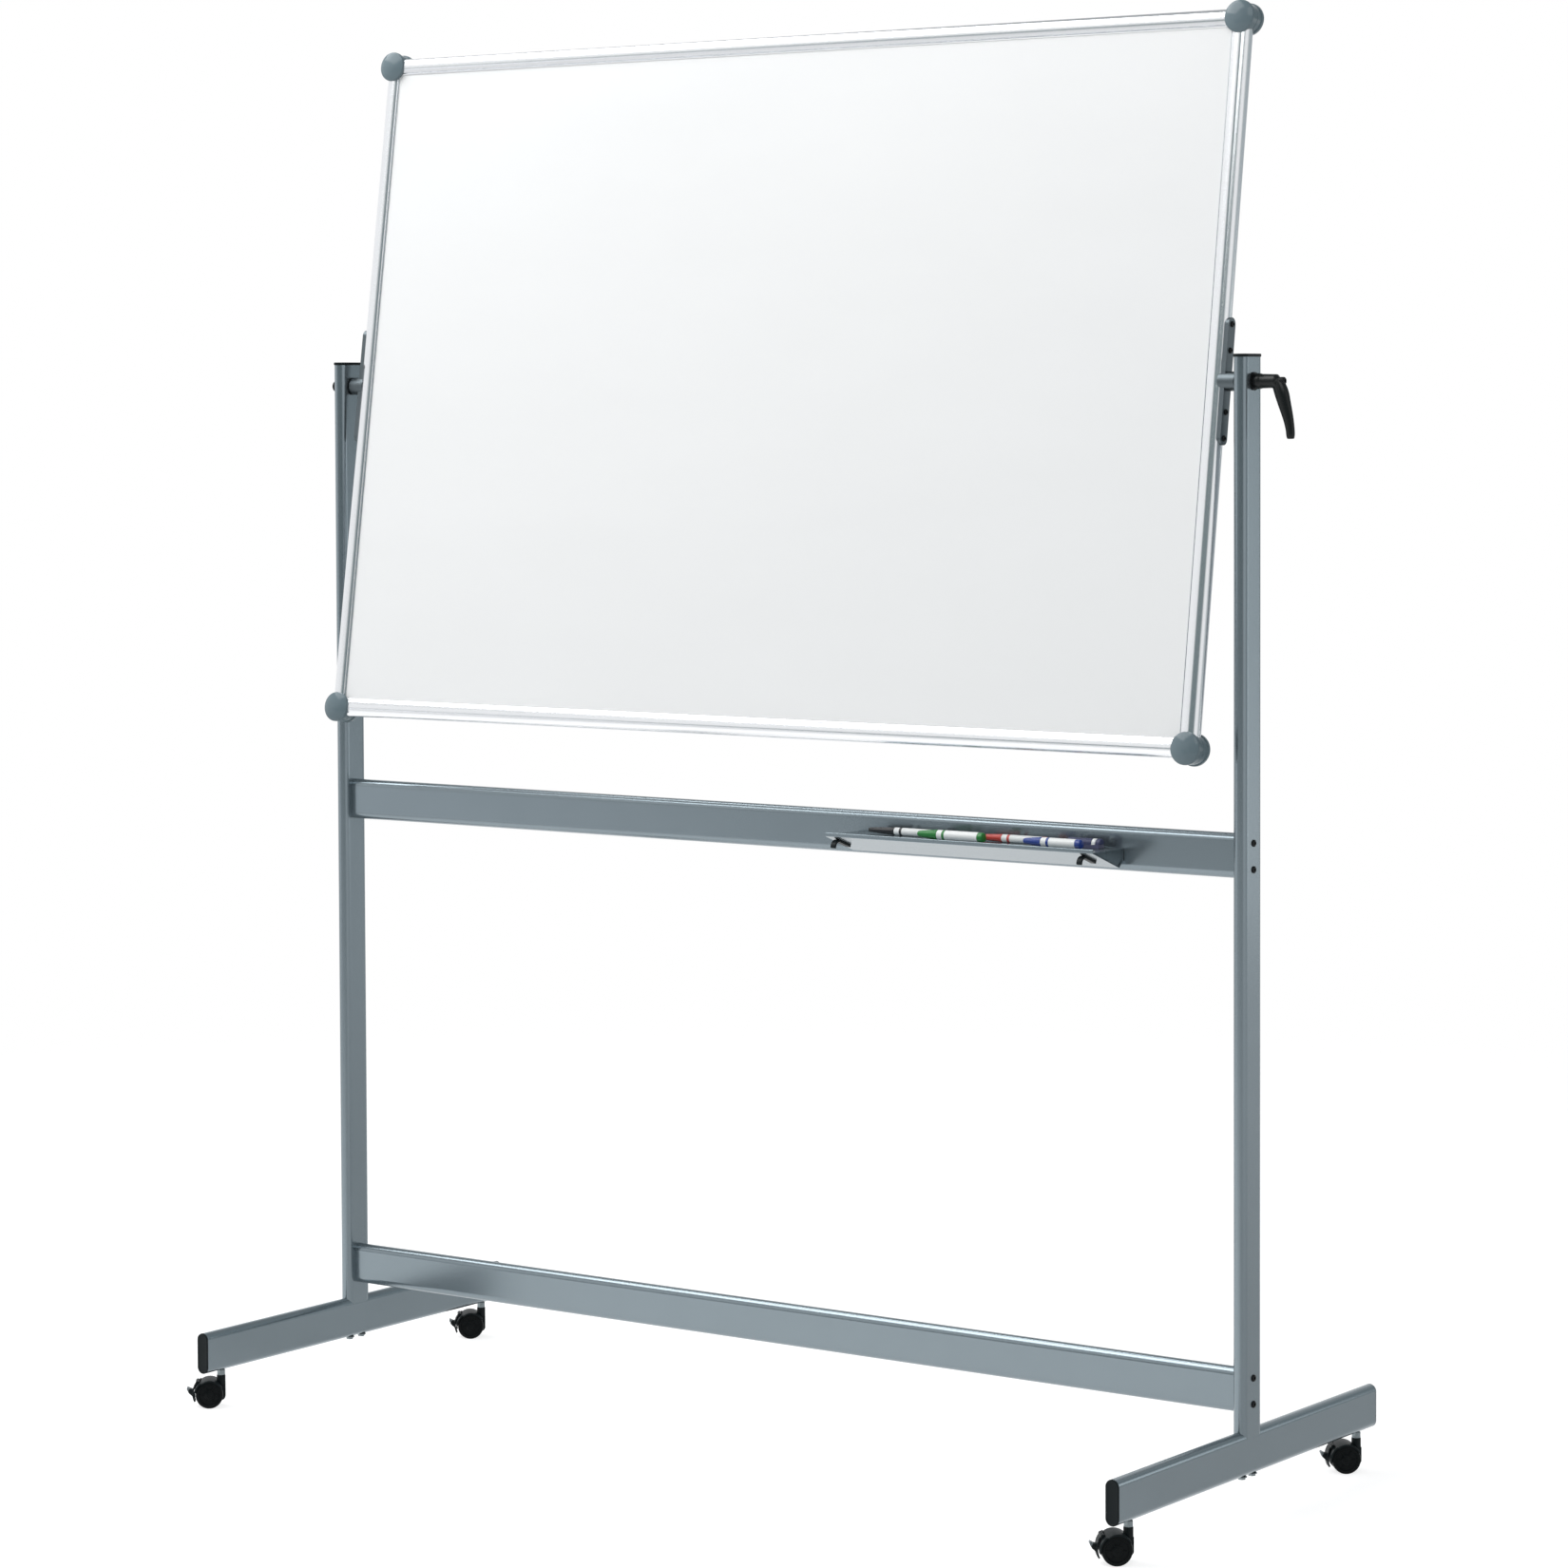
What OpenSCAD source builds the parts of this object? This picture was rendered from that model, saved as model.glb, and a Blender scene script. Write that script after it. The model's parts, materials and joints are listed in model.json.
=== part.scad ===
// Rolling whiteboard: a two-sided board that turns between two posts on a four-caster stand.
// X runs along the board, Y away from the front, Z up.
// The origin is on the floor, straight below the middle of the board's turning axis.

/* [Board] */
// Width of the board over its rails
board_w = 1500; // [1300:10:1700]
// Height of the board over its rails
board_h = 1000; // [800:10:1100]
// Lean of the board's top towards the back, in degrees
board_tilt = 8.3; // [0:0.1:20]
// Height of the turning axis above the floor
pivot_z = 1504; // [1450:1:1600]
// Radius of the half-round outer side of a rail
rail_r = 13; // [12.5:0.5:14]
// Thickness of the panel between its writing sheets
core_t = 14.6; // [13:0.2:14.6]
// Thickness of one enamelled writing sheet
sheet_t = 0.7; // [0.4:0.1:0.7]
// Radius of a corner cap
corner_r = 22; // [21:0.5:24]

/* [Stand] */
// Gap between the board's edge and a post
side_gap = 22; // [21.5:0.5:24]
// Thickness of the oval tubes across their flats
tube_t = 20; // [19:0.5:22]
// Depth of a post, front to back
post_d = 50; // [46:1:56]
// Wall of the oval tubes
tube_wall = 1.5; // [1.2:0.1:2]
// Height of the top of the post tubes
post_top = 1536; // [1530:1:1700]
// Height of a crossbar's section
bar_h = 60; // [56:1:70]
// Height of the upper crossbar's centre
upper_bar_z = 878; // [860:1:920]
// Height of the lower crossbar's centre
lower_bar_z = 167; // [165:1:300]
// Length of a foot, front to back
foot_l = 682; // [640:2:760]
// Height of a foot's section
foot_h = 60; // [56:1:62]
// Height of a foot's underside above the floor
foot_z = 54.5; // [54:0.5:57]

/* [Casters] */
// Radius of a caster wheel
wheel_r = 20; // [19:0.5:20]
// Distance from a caster's stem axis back to its axle
caster_trail = 17; // [16:0.5:18]
// Distance from a foot's front end to the front stem
front_stem_in = 40; // [22:1:60]
// Distance from a foot's back end to the rear stem
rear_stem_in = 40; // [22:1:60]
// Heading in which the front casters trail, from +X
front_trail_dir = 221; // [0:1:359]
// Heading in which the rear casters trail, from +X
rear_trail_dir = 221; // [0:1:359]

/* [Pen tray] */
// Distance of the tray's left end from the middle
tray_x = 164; // [-700:1:180]
// Length of the tray
tray_l = 434; // [420:1:500]
// Reach of the tray in front of the upper crossbar's axis
tray_reach = 88; // [84:1:110]

/* [Lever] */
// Outer radius of the lever's hub
hub_r = 9.4; // [9:0.1:11]
// Travel of the sprung lever along its stud
lever_lift = 5; // [3:0.5:5]

/* [Hidden] */
$fn = 64;
clear = 0.05;
cut = 1;

// Colours
silver = [0.56, 0.62, 0.65];
rail_white = [0.90, 0.91, 0.92];
board_white = [0.96, 0.96, 0.95];
corner_grey = [0.44, 0.50, 0.54];
black = [0.08, 0.09, 0.10];
zinc = [0.70, 0.72, 0.74];
core_tan = [0.72, 0.60, 0.44];
pen_green = [0.05, 0.45, 0.15];
pen_red = [0.75, 0.20, 0.18];
pen_blue = [0.10, 0.20, 0.50];
felt_blue = [0.22, 0.24, 0.36];

// Stand
post_x = board_w / 2 + side_gap + tube_t / 2;
post_inner_x = post_x - tube_t / 2;
post_outer_x = post_x + tube_t / 2;
tube_r = tube_t / 2;
foot_top = foot_z + foot_h;
foot_half = foot_l / 2;
stem_ys = [-foot_half + front_stem_in, foot_half - rear_stem_in];
cap_flange = 2;
post_cap_t = 4.2;
post_cap_rim = 1;
post_plug_l = 22;
foot_plug_l = 12;
plug_wall = 2.25;
screw_clear = 0.1;
bar_screw_pitch = 35;
bar_screw_r = 2.5;
bar_insert_l = 40;
thread_left = 6;
screw_head_r = 4.75;
screw_head_h = 2.4;
foot_bolt_pitch = 27;
foot_bolt_r = 3;
foot_bolt_head_r = 5.5;
foot_bolt_head_h = 4;
post_insert_l = 26;
// Low-domed screw head: height of its wall, then radius and height of its shoulder, radius of its top
head_wall = 0.45;
head_shoulder_r = 0.8;
head_shoulder_h = 0.82;
head_top_r = 0.4;

// Pivot
stud_r = 5;
bush_r = 7;
bush_flange_r = 13;
bush_flange_t = 2;
washer_r = 12;
washer_t = 1.5;
stack_gap = 0.1;
stud_head_r = 7;
stud_head_t = 4;
stud_head_in = 9;
stud_head_x = board_w / 2 - stud_head_in;
stud_left_end = 10;
stud_right_end = 16;
left_nut_flange_r = 10;
left_nut_flange_t = 2;
left_nut_r = 9.5;
left_nut_dome_r = 8;
left_nut_dome_h = 4;

// Pivot plates on the side rails
plate_l = 170;
plate_w = 18;
plate_t = 3;
plate_screws = [-76, -41, 41, 76];
plate_screw_r = 2;
plate_screw_head_r = 4;
plate_screw_l = 14;
boss_r = 13;
boss_top_x = post_inner_x - bush_flange_t - washer_t - 2 * stack_gap;

// Rail section, measured inwards from the board's outer edge
rail_depth = 26;
rail_wall = 1.7;
rail_lip_half = 9;
rail_web_x = 13;
rail_bite = 11;
slot_half = core_t / 2 + sheet_t + clear;
// Depth to which holes go through a side rail's outer wall
rail_bore_depth = 11;
rail_bore_x = board_w / 2 - rail_bore_depth;
// Radius of the arc that runs from the half-round down to the lip
rail_flank_r = (pow(rail_depth - rail_r, 2) + pow(rail_r - rail_lip_half, 2))
    / (2 * (rail_r - rail_lip_half));

// Board
corner_inset = rail_r;
rail_end = 14;
panel_gap = 0.5;
panel_w = board_w - 2 * (rail_depth - rail_bite + panel_gap);
panel_h = board_h - 2 * (rail_depth - rail_bite + panel_gap);
side_rail_l = board_h - 2 * (corner_inset + rail_end);
long_rail_l = board_w - 2 * (corner_inset + rail_end);
corner_rim_y = 15;
corner_rim_t = 5;
corner_band_in = 1.5;
corner_dome_h = 6;
link_in = 5;
link_w = 7;
link_half = 7;
link_l = 55;
dome_steps = 10;

// Casters
stem_r = 4;
boss_wall = 2.5;
boss_floor = 1.5;
stem_collar_r = 6;
socket_l = 46;
stem_bottom = 27;
stem_in_foot = 42;
stem_top = foot_z + stem_in_foot;
housing_top = 47;
hood_in = 0.6;
hood_t = 1.8;
hood_half = 19.5;
web_half = 6.2;
wheel_in = 6.7;
wheel_w = 12.5;
axle_r = 3;
axle_half = 17.5;
wheel_edge = 2;
wheel_dish_r = 14;
wheel_dish_d = 1.2;
hood_from = 50;
hood_to = 150;
web_from = 60;
web_to = 190;
axle_boss_r = 10;
side_play = 0.2;
sector_step = 5;
wheel_edge_cut = 0.3;
brake_pin_r = 1.5;
brake_pin_at = 24.1;
brake_pin_angle = 44;
brake_knuckle_r = 3;
brake_half = 5.8;
brake_ear_w = 4.5;
brake_pad_half = 8.5;
brake_t = 2.2;
brake_in = 3.2;
brake_neck_from = 20;
brake_pad_from = -28;
brake_pad_to = 26;
// Outline of the lip that lifts the pedal, seen from the side, out from the axle and up
brake_lip = [[24, -5], [30.5, 1], [33.5, 7], [32.5, 9.5], [28, 7], [24, 6]];
brake_pin_x = caster_trail + brake_pin_at * cos(brake_pin_angle);
brake_pin_z = wheel_r + brake_pin_at * sin(brake_pin_angle);

// Pen tray section: the rim, the bottom fold and the back wall
tray_sheet = 1.5;
tray_rim_z = upper_bar_z + 4.5;
tray_shelf_z = upper_bar_z + 0.5;
tray_back_y = -tube_r - 2.4;
tray_fold_y = -21.5;
tray_fold_z = upper_bar_z - 24;
tray_chamfer_z = upper_bar_z - 16;
tray_magnet_t = 1.4;
tray_magnet_l = 60;
tray_magnet_h = 14;
tray_magnet_off = 150;
hook_w = 8;
hook_t = 3.4;
hook_r = 11;
hook_in = 15;
hook_tail_l = 26;
hook_x = [8, 408];

// Pens lying along X: place along the tray, row, radius, length and length of the cap
rear_row_y = -33;
front_row_y = -55;
black_pen = [35, rear_row_y, 5.5, 112, 44];
green_pen = [132, front_row_y, 7, 108, 33];
red_pen = [216, rear_row_y, 5.5, 112, 40];
blue_pen = [304, front_row_y, 6.5, 92, 29];
marker_floor = tray_shelf_z + tray_sheet / 2 + stack_gap;
// Shares of a pen's radius, and the length of the hollow cap's solid end
cap_tip = 0.5;
cap_shoulder = 0.72;
cap_bore = 0.8;
pen_nose = 0.55;
barrel_share = 0.97;
nose_l = 3;
eraser_x = 362;
eraser_l = 52;
eraser_r = 6.5;

// Lever, measured outwards from the post's outer face
lever_washer_t = 2;
insert_from = lever_washer_t + 2 * stack_gap;
insert_to = 22;
insert_r = 7;
insert_flange_r = 9.2;
insert_flange_t = 2.8;
lever_gap = 0.3;
hub_from = insert_from + insert_flange_t + lever_gap;
hub_to = 40;
hub_bore_to = 24.5;
hub_web_to = 27.5;
hub_counter_r = 6;
lever_screw_r = 2.45;
lever_head_r = 5.4;
spring_block_l = 5.5;
lever_head_from = hub_web_to + lever_lift + spring_block_l;
lever_screw_head_l = 12;
lever_head_to = lever_head_from + lever_screw_head_l;
lever_dome_h = 3;
lever_screw_play = 0.6;
spring_r = 4.5;
spring_wire = 0.45;
spring_turns = 5;
spring_steps = 16;
spring_sides = 6;

// Points that the lever's arm passes through: out along X, down, and its radius there
arm_points = [
    [33, 2, 7.4],
    [41.5, -11, 8.4],
    [46.8, -28, 7.3],
    [53.8, -48, 5.4],
    [57.4, -69, 4.4]
];
arm_tip = [57.4, -70.5, 5.2];
arm_flat = 0.82;
arm_sides = 28;

// ---------- Shared shapes ----------

// Oval with flat sides: t across the flats (X), h over the round ends (Y)
module oval(t, h) {
    square([t, h - t], center = true);
    for (side = [-1, 1])
        translate([0, side * (h - t) / 2])
            circle(r = t / 2);
}

module oval_ring(t, h) {
    difference() {
        oval(t, h);
        oval(t - 2 * tube_wall, h - 2 * tube_wall);
    }
}

// Cross-section of a hollow plug that fits inside an oval tube
module plug_ring(t, h) {
    inside = 2 * (tube_wall + plug_wall);
    difference() {
        tube_filler(t, h);
        oval(t - inside, h - inside);
    }
}

// Cross-section that fills an oval tube with a little room to spare
module tube_filler(t, h) {
    inside = 2 * (tube_wall + clear);
    oval(t - inside, h - inside);
}

// Cylinder along X from x = from to x = to
module rod_x(r, from, to) {
    translate([from, 0, 0])
        rotate([0, 90, 0])
            cylinder(r = r, h = to - from);
}

// Low-domed screw head on the face x = 0, pointing to +X
module button_head(r, h) {
    rotate([0, 90, 0])
        rotate_extrude()
            polygon([
                [0, 0],
                [r, 0],
                [r, h * head_wall],
                [r * head_shoulder_r, h * head_shoulder_h],
                [r * head_top_r, h],
                [0, h]
            ]);
}

// Mirrors a right-hand shape to the left when side is -1
module on_side(side) {
    if (side > 0) children();
    else mirror([1, 0, 0]) children();
}

// ---------- Stand ----------

// Upright tube, coped over its foot and drilled for the bush and the crossbar screws
module post(side) {
    color(silver)
        on_side(side)
            difference() {
                translate([post_x, 0, foot_top - tube_r])
                    linear_extrude(height = post_top - foot_top + tube_r)
                        oval_ring(tube_t, post_d);
                translate([post_x, post_d, foot_z + foot_h / 2])
                    rotate([90, 0, 0])
                        linear_extrude(height = 2 * post_d)
                            oval(tube_t + 2 * clear, foot_h + 2 * clear);
                translate([0, 0, pivot_z])
                    rod_x(bush_r + clear / 2, post_inner_x - cut, post_outer_x + cut);
                for (bar_z = [upper_bar_z, lower_bar_z], row = [-1, 1])
                    translate([0, 0, bar_z + row * bar_screw_pitch / 2])
                        rod_x(bar_screw_r + screw_clear, post_inner_x - cut, post_outer_x + cut);
            }
}
module left_post() { post(-1); }
module right_post() { post(1); }

// Push-in cap that closes the top of a post
module post_top_cap() {
    translate([post_x, 0, post_top]) {
        linear_extrude(height = post_cap_t)
            oval(tube_t + 2 * post_cap_rim, post_d + 2 * post_cap_rim);
        translate([0, 0, -post_plug_l])
            linear_extrude(height = post_plug_l)
                plug_ring(tube_t, post_d);
    }
}
module post_top_caps() {
    color(black)
        for (side = [-1, 1])
            on_side(side) post_top_cap();
}

// Places a shape drawn along +Z so that it runs towards the back, from the foot's front end
module along_foot(from) {
    translate([post_x, from, foot_z + foot_h / 2])
        rotate([-90, 0, 0])
            children();
}

module foot(side) {
    tube_l = foot_l - 2 * cap_flange;
    color(silver)
        on_side(side)
            difference() {
                along_foot(-tube_l / 2)
                    linear_extrude(height = tube_l)
                        oval_ring(tube_t, foot_h);
                for (row = [-1, 1])
                    translate([post_x, row * foot_bolt_pitch / 2, foot_z - cut])
                        cylinder(r = foot_bolt_r + screw_clear, h = foot_h + 2 * cut);
                for (y = stem_ys)
                    translate([post_x, y, foot_z - cut])
                        cylinder(r = stem_r + clear, h = foot_h / 2);
            }
}
module left_foot() { foot(-1); }
module right_foot() { foot(1); }

// Push-in end cap of a foot, closing it towards the front
module foot_end_cap() {
    along_foot(-foot_half)
        linear_extrude(height = cap_flange - clear)
            oval(tube_t, foot_h);
    along_foot(-foot_half + cap_flange - clear)
        linear_extrude(height = foot_plug_l)
            plug_ring(tube_t, foot_h);
}
module foot_end_caps() {
    color(black)
        for (side = [-1, 1], back = [0, 1])
            on_side(side)
                mirror([0, back, 0])
                    foot_end_cap();
}

// Crossbar between the posts
module crossbar(z) {
    color(silver)
        translate([-post_inner_x + clear, 0, z])
            rotate([90, 0, 90])
                linear_extrude(height = 2 * (post_inner_x - clear))
                    oval_ring(tube_t, bar_h);
}
module upper_crossbar() { crossbar(upper_bar_z); }
module lower_crossbar() { crossbar(lower_bar_z); }

// Threaded block inside each end of a crossbar
module crossbar_insert(z) {
    translate([post_inner_x - 2 * clear, 0, z])
        rotate([90, 0, -90])
            linear_extrude(height = bar_insert_l)
                difference() {
                    tube_filler(tube_t, bar_h);
                    for (row = [-1, 1])
                        translate([0, row * bar_screw_pitch / 2])
                            circle(r = bar_screw_r + clear);
                }
}
module crossbar_inserts() {
    color(black)
        for (side = [-1, 1], z = [upper_bar_z, lower_bar_z])
            on_side(side) crossbar_insert(z);
}

module crossbar_screws() {
    color(black)
        for (side = [-1, 1], z = [upper_bar_z, lower_bar_z], row = [-1, 1])
            on_side(side)
                translate([0, 0, z + row * bar_screw_pitch / 2]) {
                    rod_x(bar_screw_r, post_inner_x - bar_insert_l + thread_left, post_outer_x);
                    translate([post_outer_x, 0, 0])
                        button_head(screw_head_r, screw_head_h);
                }
}

// Threaded block inside the bottom of each post
module post_foot_inserts() {
    color(black)
        for (side = [-1, 1])
            on_side(side)
                translate([post_x, 0, foot_top + clear])
                    difference() {
                        linear_extrude(height = post_insert_l)
                            tube_filler(tube_t, post_d);
                        for (row = [-1, 1])
                            translate([0, row * foot_bolt_pitch / 2, -cut])
                                cylinder(r = foot_bolt_r + clear, h = post_insert_l + 2 * cut);
                    }
}

// Bolts that hold each foot up to its post
module foot_bolts() {
    bolt_top = foot_top + post_insert_l - thread_left;
    color(zinc)
        for (side = [-1, 1], row = [-1, 1])
            on_side(side)
                translate([post_x, row * foot_bolt_pitch / 2, 0]) {
                    translate([0, 0, foot_z - foot_bolt_head_h])
                        cylinder(r = foot_bolt_head_r, h = foot_bolt_head_h, $fn = 6);
                    translate([0, 0, foot_z])
                        cylinder(r = foot_bolt_r, h = bolt_top - foot_z);
                }
}

// ---------- Casters ----------

// Puts a caster drawn at the origin, trailing to +X, under its stem
module at_caster(side, back) {
    translate([side * post_x, stem_ys[back], 0])
        rotate([0, 0, back == 1 ? rear_trail_dir : front_trail_dir])
            children();
}

// Round socket that grips a caster's stem inside the foot, rounded below like the foot's wall
module caster_socket(y) {
    difference() {
        intersection() {
            translate([post_x, y, foot_z])
                cylinder(r = tube_r - tube_wall - side_play, h = socket_l);
            along_foot(y - tube_t)
                linear_extrude(height = 2 * tube_t)
                    tube_filler(tube_t, foot_h);
        }
        translate([post_x, y, foot_z - cut])
            cylinder(r = stem_r + clear, h = foot_h);
    }
}
module caster_sockets() {
    color(black)
        for (side = [-1, 1], y = stem_ys)
            on_side(side) caster_socket(y);
}

// Steel stems with the collar that carries the foot
module caster_stems() {
    color(zinc)
        for (side = [-1, 1], back = [0, 1])
            translate([side * post_x, stem_ys[back], 0])
                rotate_extrude()
                    polygon([
                        [0, stem_bottom],
                        [stem_r, stem_bottom],
                        [stem_r, housing_top + stack_gap],
                        [stem_collar_r, housing_top + stack_gap],
                        [stem_collar_r, foot_z - clear],
                        [stem_r, foot_z - clear],
                        [stem_r, stem_top],
                        [0, stem_top]
                    ]);
}

// Outline of a ring between two radii and two angles
module ring_sector(inner, outer, from, to) {
    steps = ceil((to - from) / sector_step);
    polygon(concat(
        [for (i = [0 : steps]) let (a = from + (to - from) * i / steps) outer * [cos(a), sin(a)]],
        [for (i = [steps : -1 : 0]) let (a = from + (to - from) * i / steps) inner * [cos(a), sin(a)]]
    ));
}

// Extrudes an outline drawn round the axle to both sides of the caster's middle
module about_axle(half) {
    translate([caster_trail, half, wheel_r])
        rotate([90, 0, 0])
            linear_extrude(height = 2 * half)
                children();
}

// Cylinder along Y, centred on the caster's middle
module rod_y(r, half, x, z) {
    translate([x, half, z])
        rotate([90, 0, 0])
            cylinder(r = r, h = 2 * half);
}

// Body of a caster: hood over the wheels, web between them and the boss round the stem
module caster_housing() {
    hood_r = wheel_r + hood_in;
    color(black)
        difference() {
            union() {
                about_axle(hood_half)
                    ring_sector(hood_r, hood_r + hood_t, hood_from, hood_to);
                about_axle(web_half) {
                    circle(r = axle_boss_r);
                    ring_sector(axle_r, hood_r + cut, web_from, web_to);
                }
                translate([0, 0, stem_bottom - boss_floor])
                    cylinder(r = stem_r + boss_wall, h = housing_top - stem_bottom + boss_floor);
                for (side = [-1, 1])
                    translate([0, side * (brake_half + side_play + brake_ear_w / 2), 0])
                        rod_y(brake_knuckle_r, brake_ear_w / 2, brake_pin_x, brake_pin_z);
            }
            translate([0, 0, stem_bottom - side_play])
                cylinder(r = stem_r + clear, h = housing_top);
            rod_y(axle_r + clear / 2, web_half + cut, caster_trail, wheel_r);
            rod_y(brake_pin_r + clear, hood_half, brake_pin_x, brake_pin_z);
            // Room for the pedal's knuckle
            rod_y(brake_knuckle_r + 2 * side_play, brake_half + side_play, brake_pin_x, brake_pin_z);
        }
}

module caster_axle() {
    color(zinc)
        rod_y(axle_r, axle_half, caster_trail, wheel_r);
}

// One wheel of the pair, with rounded tread edges and a dished face
module caster_wheel(side) {
    w = wheel_w;
    e = wheel_edge;
    bore_depth = axle_half - wheel_in + stack_gap;
    color(black)
        translate([caster_trail, side * wheel_in, wheel_r])
            rotate([-90 * side, 0, 0])
                rotate_extrude()
                    polygon([
                        [axle_r + clear, 0],
                        [wheel_r - e, 0],
                        [wheel_r - e * wheel_edge_cut, e * wheel_edge_cut],
                        [wheel_r, e],
                        [wheel_r, w - e],
                        [wheel_r - e * wheel_edge_cut, w - e * wheel_edge_cut],
                        [wheel_r - e, w],
                        [wheel_dish_r + wheel_dish_d, w],
                        [wheel_dish_r, w - wheel_dish_d],
                        [0, w - wheel_dish_d],
                        [0, bore_depth],
                        [axle_r + clear, bore_depth]
                    ]);
}

// Pedal that swings down behind the wheels to hold them
module caster_brake() {
    pad_r = wheel_r + brake_in;
    color(black) {
        rod_y(brake_knuckle_r, brake_half, brake_pin_x, brake_pin_z);
        rod_y(brake_pin_r, brake_half + brake_ear_w, brake_pin_x, brake_pin_z);
        about_axle(brake_half)
            ring_sector(pad_r, pad_r + brake_t, brake_neck_from, brake_pin_angle);
        about_axle(brake_pad_half)
            ring_sector(pad_r, pad_r + brake_t, brake_pad_from, brake_pad_to);
        about_axle(brake_half)
            polygon(brake_lip);
    }
}

// The four casters share these parts: side is -1 left or 1 right, back is 0 front or 1 rear
module front_left_caster_housing() { at_caster(-1, 0) caster_housing(); }
module front_left_caster_axle() { at_caster(-1, 0) caster_axle(); }
module front_left_caster_wheel_a() { at_caster(-1, 0) caster_wheel(-1); }
module front_left_caster_wheel_b() { at_caster(-1, 0) caster_wheel(1); }
module front_left_caster_brake() { at_caster(-1, 0) caster_brake(); }
module front_right_caster_housing() { at_caster(1, 0) caster_housing(); }
module front_right_caster_axle() { at_caster(1, 0) caster_axle(); }
module front_right_caster_wheel_a() { at_caster(1, 0) caster_wheel(-1); }
module front_right_caster_wheel_b() { at_caster(1, 0) caster_wheel(1); }
module front_right_caster_brake() { at_caster(1, 0) caster_brake(); }
module rear_left_caster_housing() { at_caster(-1, 1) caster_housing(); }
module rear_left_caster_axle() { at_caster(-1, 1) caster_axle(); }
module rear_left_caster_wheel_a() { at_caster(-1, 1) caster_wheel(-1); }
module rear_left_caster_wheel_b() { at_caster(-1, 1) caster_wheel(1); }
module rear_left_caster_brake() { at_caster(-1, 1) caster_brake(); }
module rear_right_caster_housing() { at_caster(1, 1) caster_housing(); }
module rear_right_caster_axle() { at_caster(1, 1) caster_axle(); }
module rear_right_caster_wheel_a() { at_caster(1, 1) caster_wheel(-1); }
module rear_right_caster_wheel_b() { at_caster(1, 1) caster_wheel(1); }
module rear_right_caster_brake() { at_caster(1, 1) caster_brake(); }

// ---------- Pivot ----------

// Flanged bushes through the posts; the studs turn in them
module pivot_bushes() {
    color(black)
        for (side = [-1, 1])
            on_side(side)
                translate([0, 0, pivot_z])
                    difference() {
                        union() {
                            rod_x(bush_flange_r, post_inner_x - bush_flange_t, post_inner_x);
                            rod_x(bush_r, post_inner_x - bush_flange_t, post_outer_x);
                        }
                        rod_x(stud_r + clear, post_inner_x - 2 * bush_flange_t, post_outer_x + cut);
                    }
}

// A washer on each side of both posts
module pivot_washers() {
    inner_x = post_inner_x - bush_flange_t - stack_gap;
    outer_x = post_outer_x + stack_gap;
    color(zinc)
        for (side = [-1, 1])
            on_side(side)
                translate([0, 0, pivot_z])
                    difference() {
                        union() {
                            rod_x(washer_r, inner_x - washer_t, inner_x);
                            rod_x(washer_r, outer_x, outer_x + lever_washer_t);
                        }
                        rod_x(stud_r + 2 * clear, boss_top_x, outer_x + 2 * lever_washer_t);
                    }
}

// ---------- Board, drawn flat in XZ round the turning axis ----------

// Leans the board back about the turning axis
module on_board() {
    translate([0, 0, pivot_z])
        rotate([-board_tilt, 0, 0])
            children();
}

// Outline of a rail: X inwards from the board's outer edge, Y through its thickness
module rail_outline(grow = 0) {
    translate([rail_r, 0])
        circle(r = rail_r + grow);
    intersection() {
        translate([rail_r, rail_r - rail_flank_r])
            circle(r = rail_flank_r + grow);
        translate([rail_r, rail_flank_r - rail_r])
            circle(r = rail_flank_r + grow);
        translate([rail_r, -2 * rail_r])
            square([rail_depth - rail_r + grow, 4 * rail_r]);
    }
}

module rail_section() {
    difference() {
        rail_outline();
        intersection() {
            translate([rail_r, 0])
                circle(r = rail_r - rail_wall);
            translate([0, -rail_r])
                square([rail_web_x, 2 * rail_r]);
        }
        translate([rail_depth - rail_bite, -slot_half])
            square([rail_bite + cut, 2 * slot_half]);
    }
}

// Stands an outline on the board's edge: sx or sz picks the side, along is the length
module on_edge(sx, sz, along) {
    translate([sx * board_w / 2, 0, sz * board_h / 2])
        rotate(sx != 0 ? [0, 0, sx > 0 ? 180 : 0] : [0, sz * 90, 0])
            linear_extrude(height = along, center = true)
                children();
}

module long_rail(sz) {
    color(rail_white)
        on_board()
            on_edge(0, sz, long_rail_l)
                rail_section();
}
module top_rail() { long_rail(1); }
module bottom_rail() { long_rail(-1); }

// Side rail, drilled for the stud and the plate's screws
module side_rail(side) {
    color(rail_white)
        on_board()
            difference() {
                on_edge(side, 0, side_rail_l)
                    rail_section();
                on_side(side) {
                    rod_x(stud_r + clear, rail_bore_x, board_w / 2 + cut);
                    for (z = plate_screws)
                        translate([0, 0, z])
                            rod_x(plate_screw_r + clear, rail_bore_x, board_w / 2 + cut);
                }
            }
}
module left_rail() { side_rail(-1); }
module right_rail() { side_rail(1); }

module board_core() {
    color(core_tan)
        on_board()
            cube([panel_w, core_t, panel_h], center = true);
}

// Front and rear writing sheets on the core
module writing_sheets() {
    color(board_white)
        on_board()
            for (side = [-1, 1])
                translate([0, side * (core_t + sheet_t) / 2, 0])
                    cube([panel_w, sheet_t, panel_h], center = true);
}

// Corner link inside the hollow of two rails; grow widens it into its own pocket
module corner_link(grow = 0) {
    out_x = board_w / 2 - link_in + grow;
    out_z = board_h / 2 - link_in + grow;
    thick = link_w + 2 * grow;
    depth = 2 * (link_half + grow);
    translate([out_x - thick, -depth / 2, out_z - link_l])
        cube([thick, depth, link_l]);
    translate([out_x - link_l, -depth / 2, out_z - thick])
        cube([link_l, depth, thick]);
}

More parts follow.
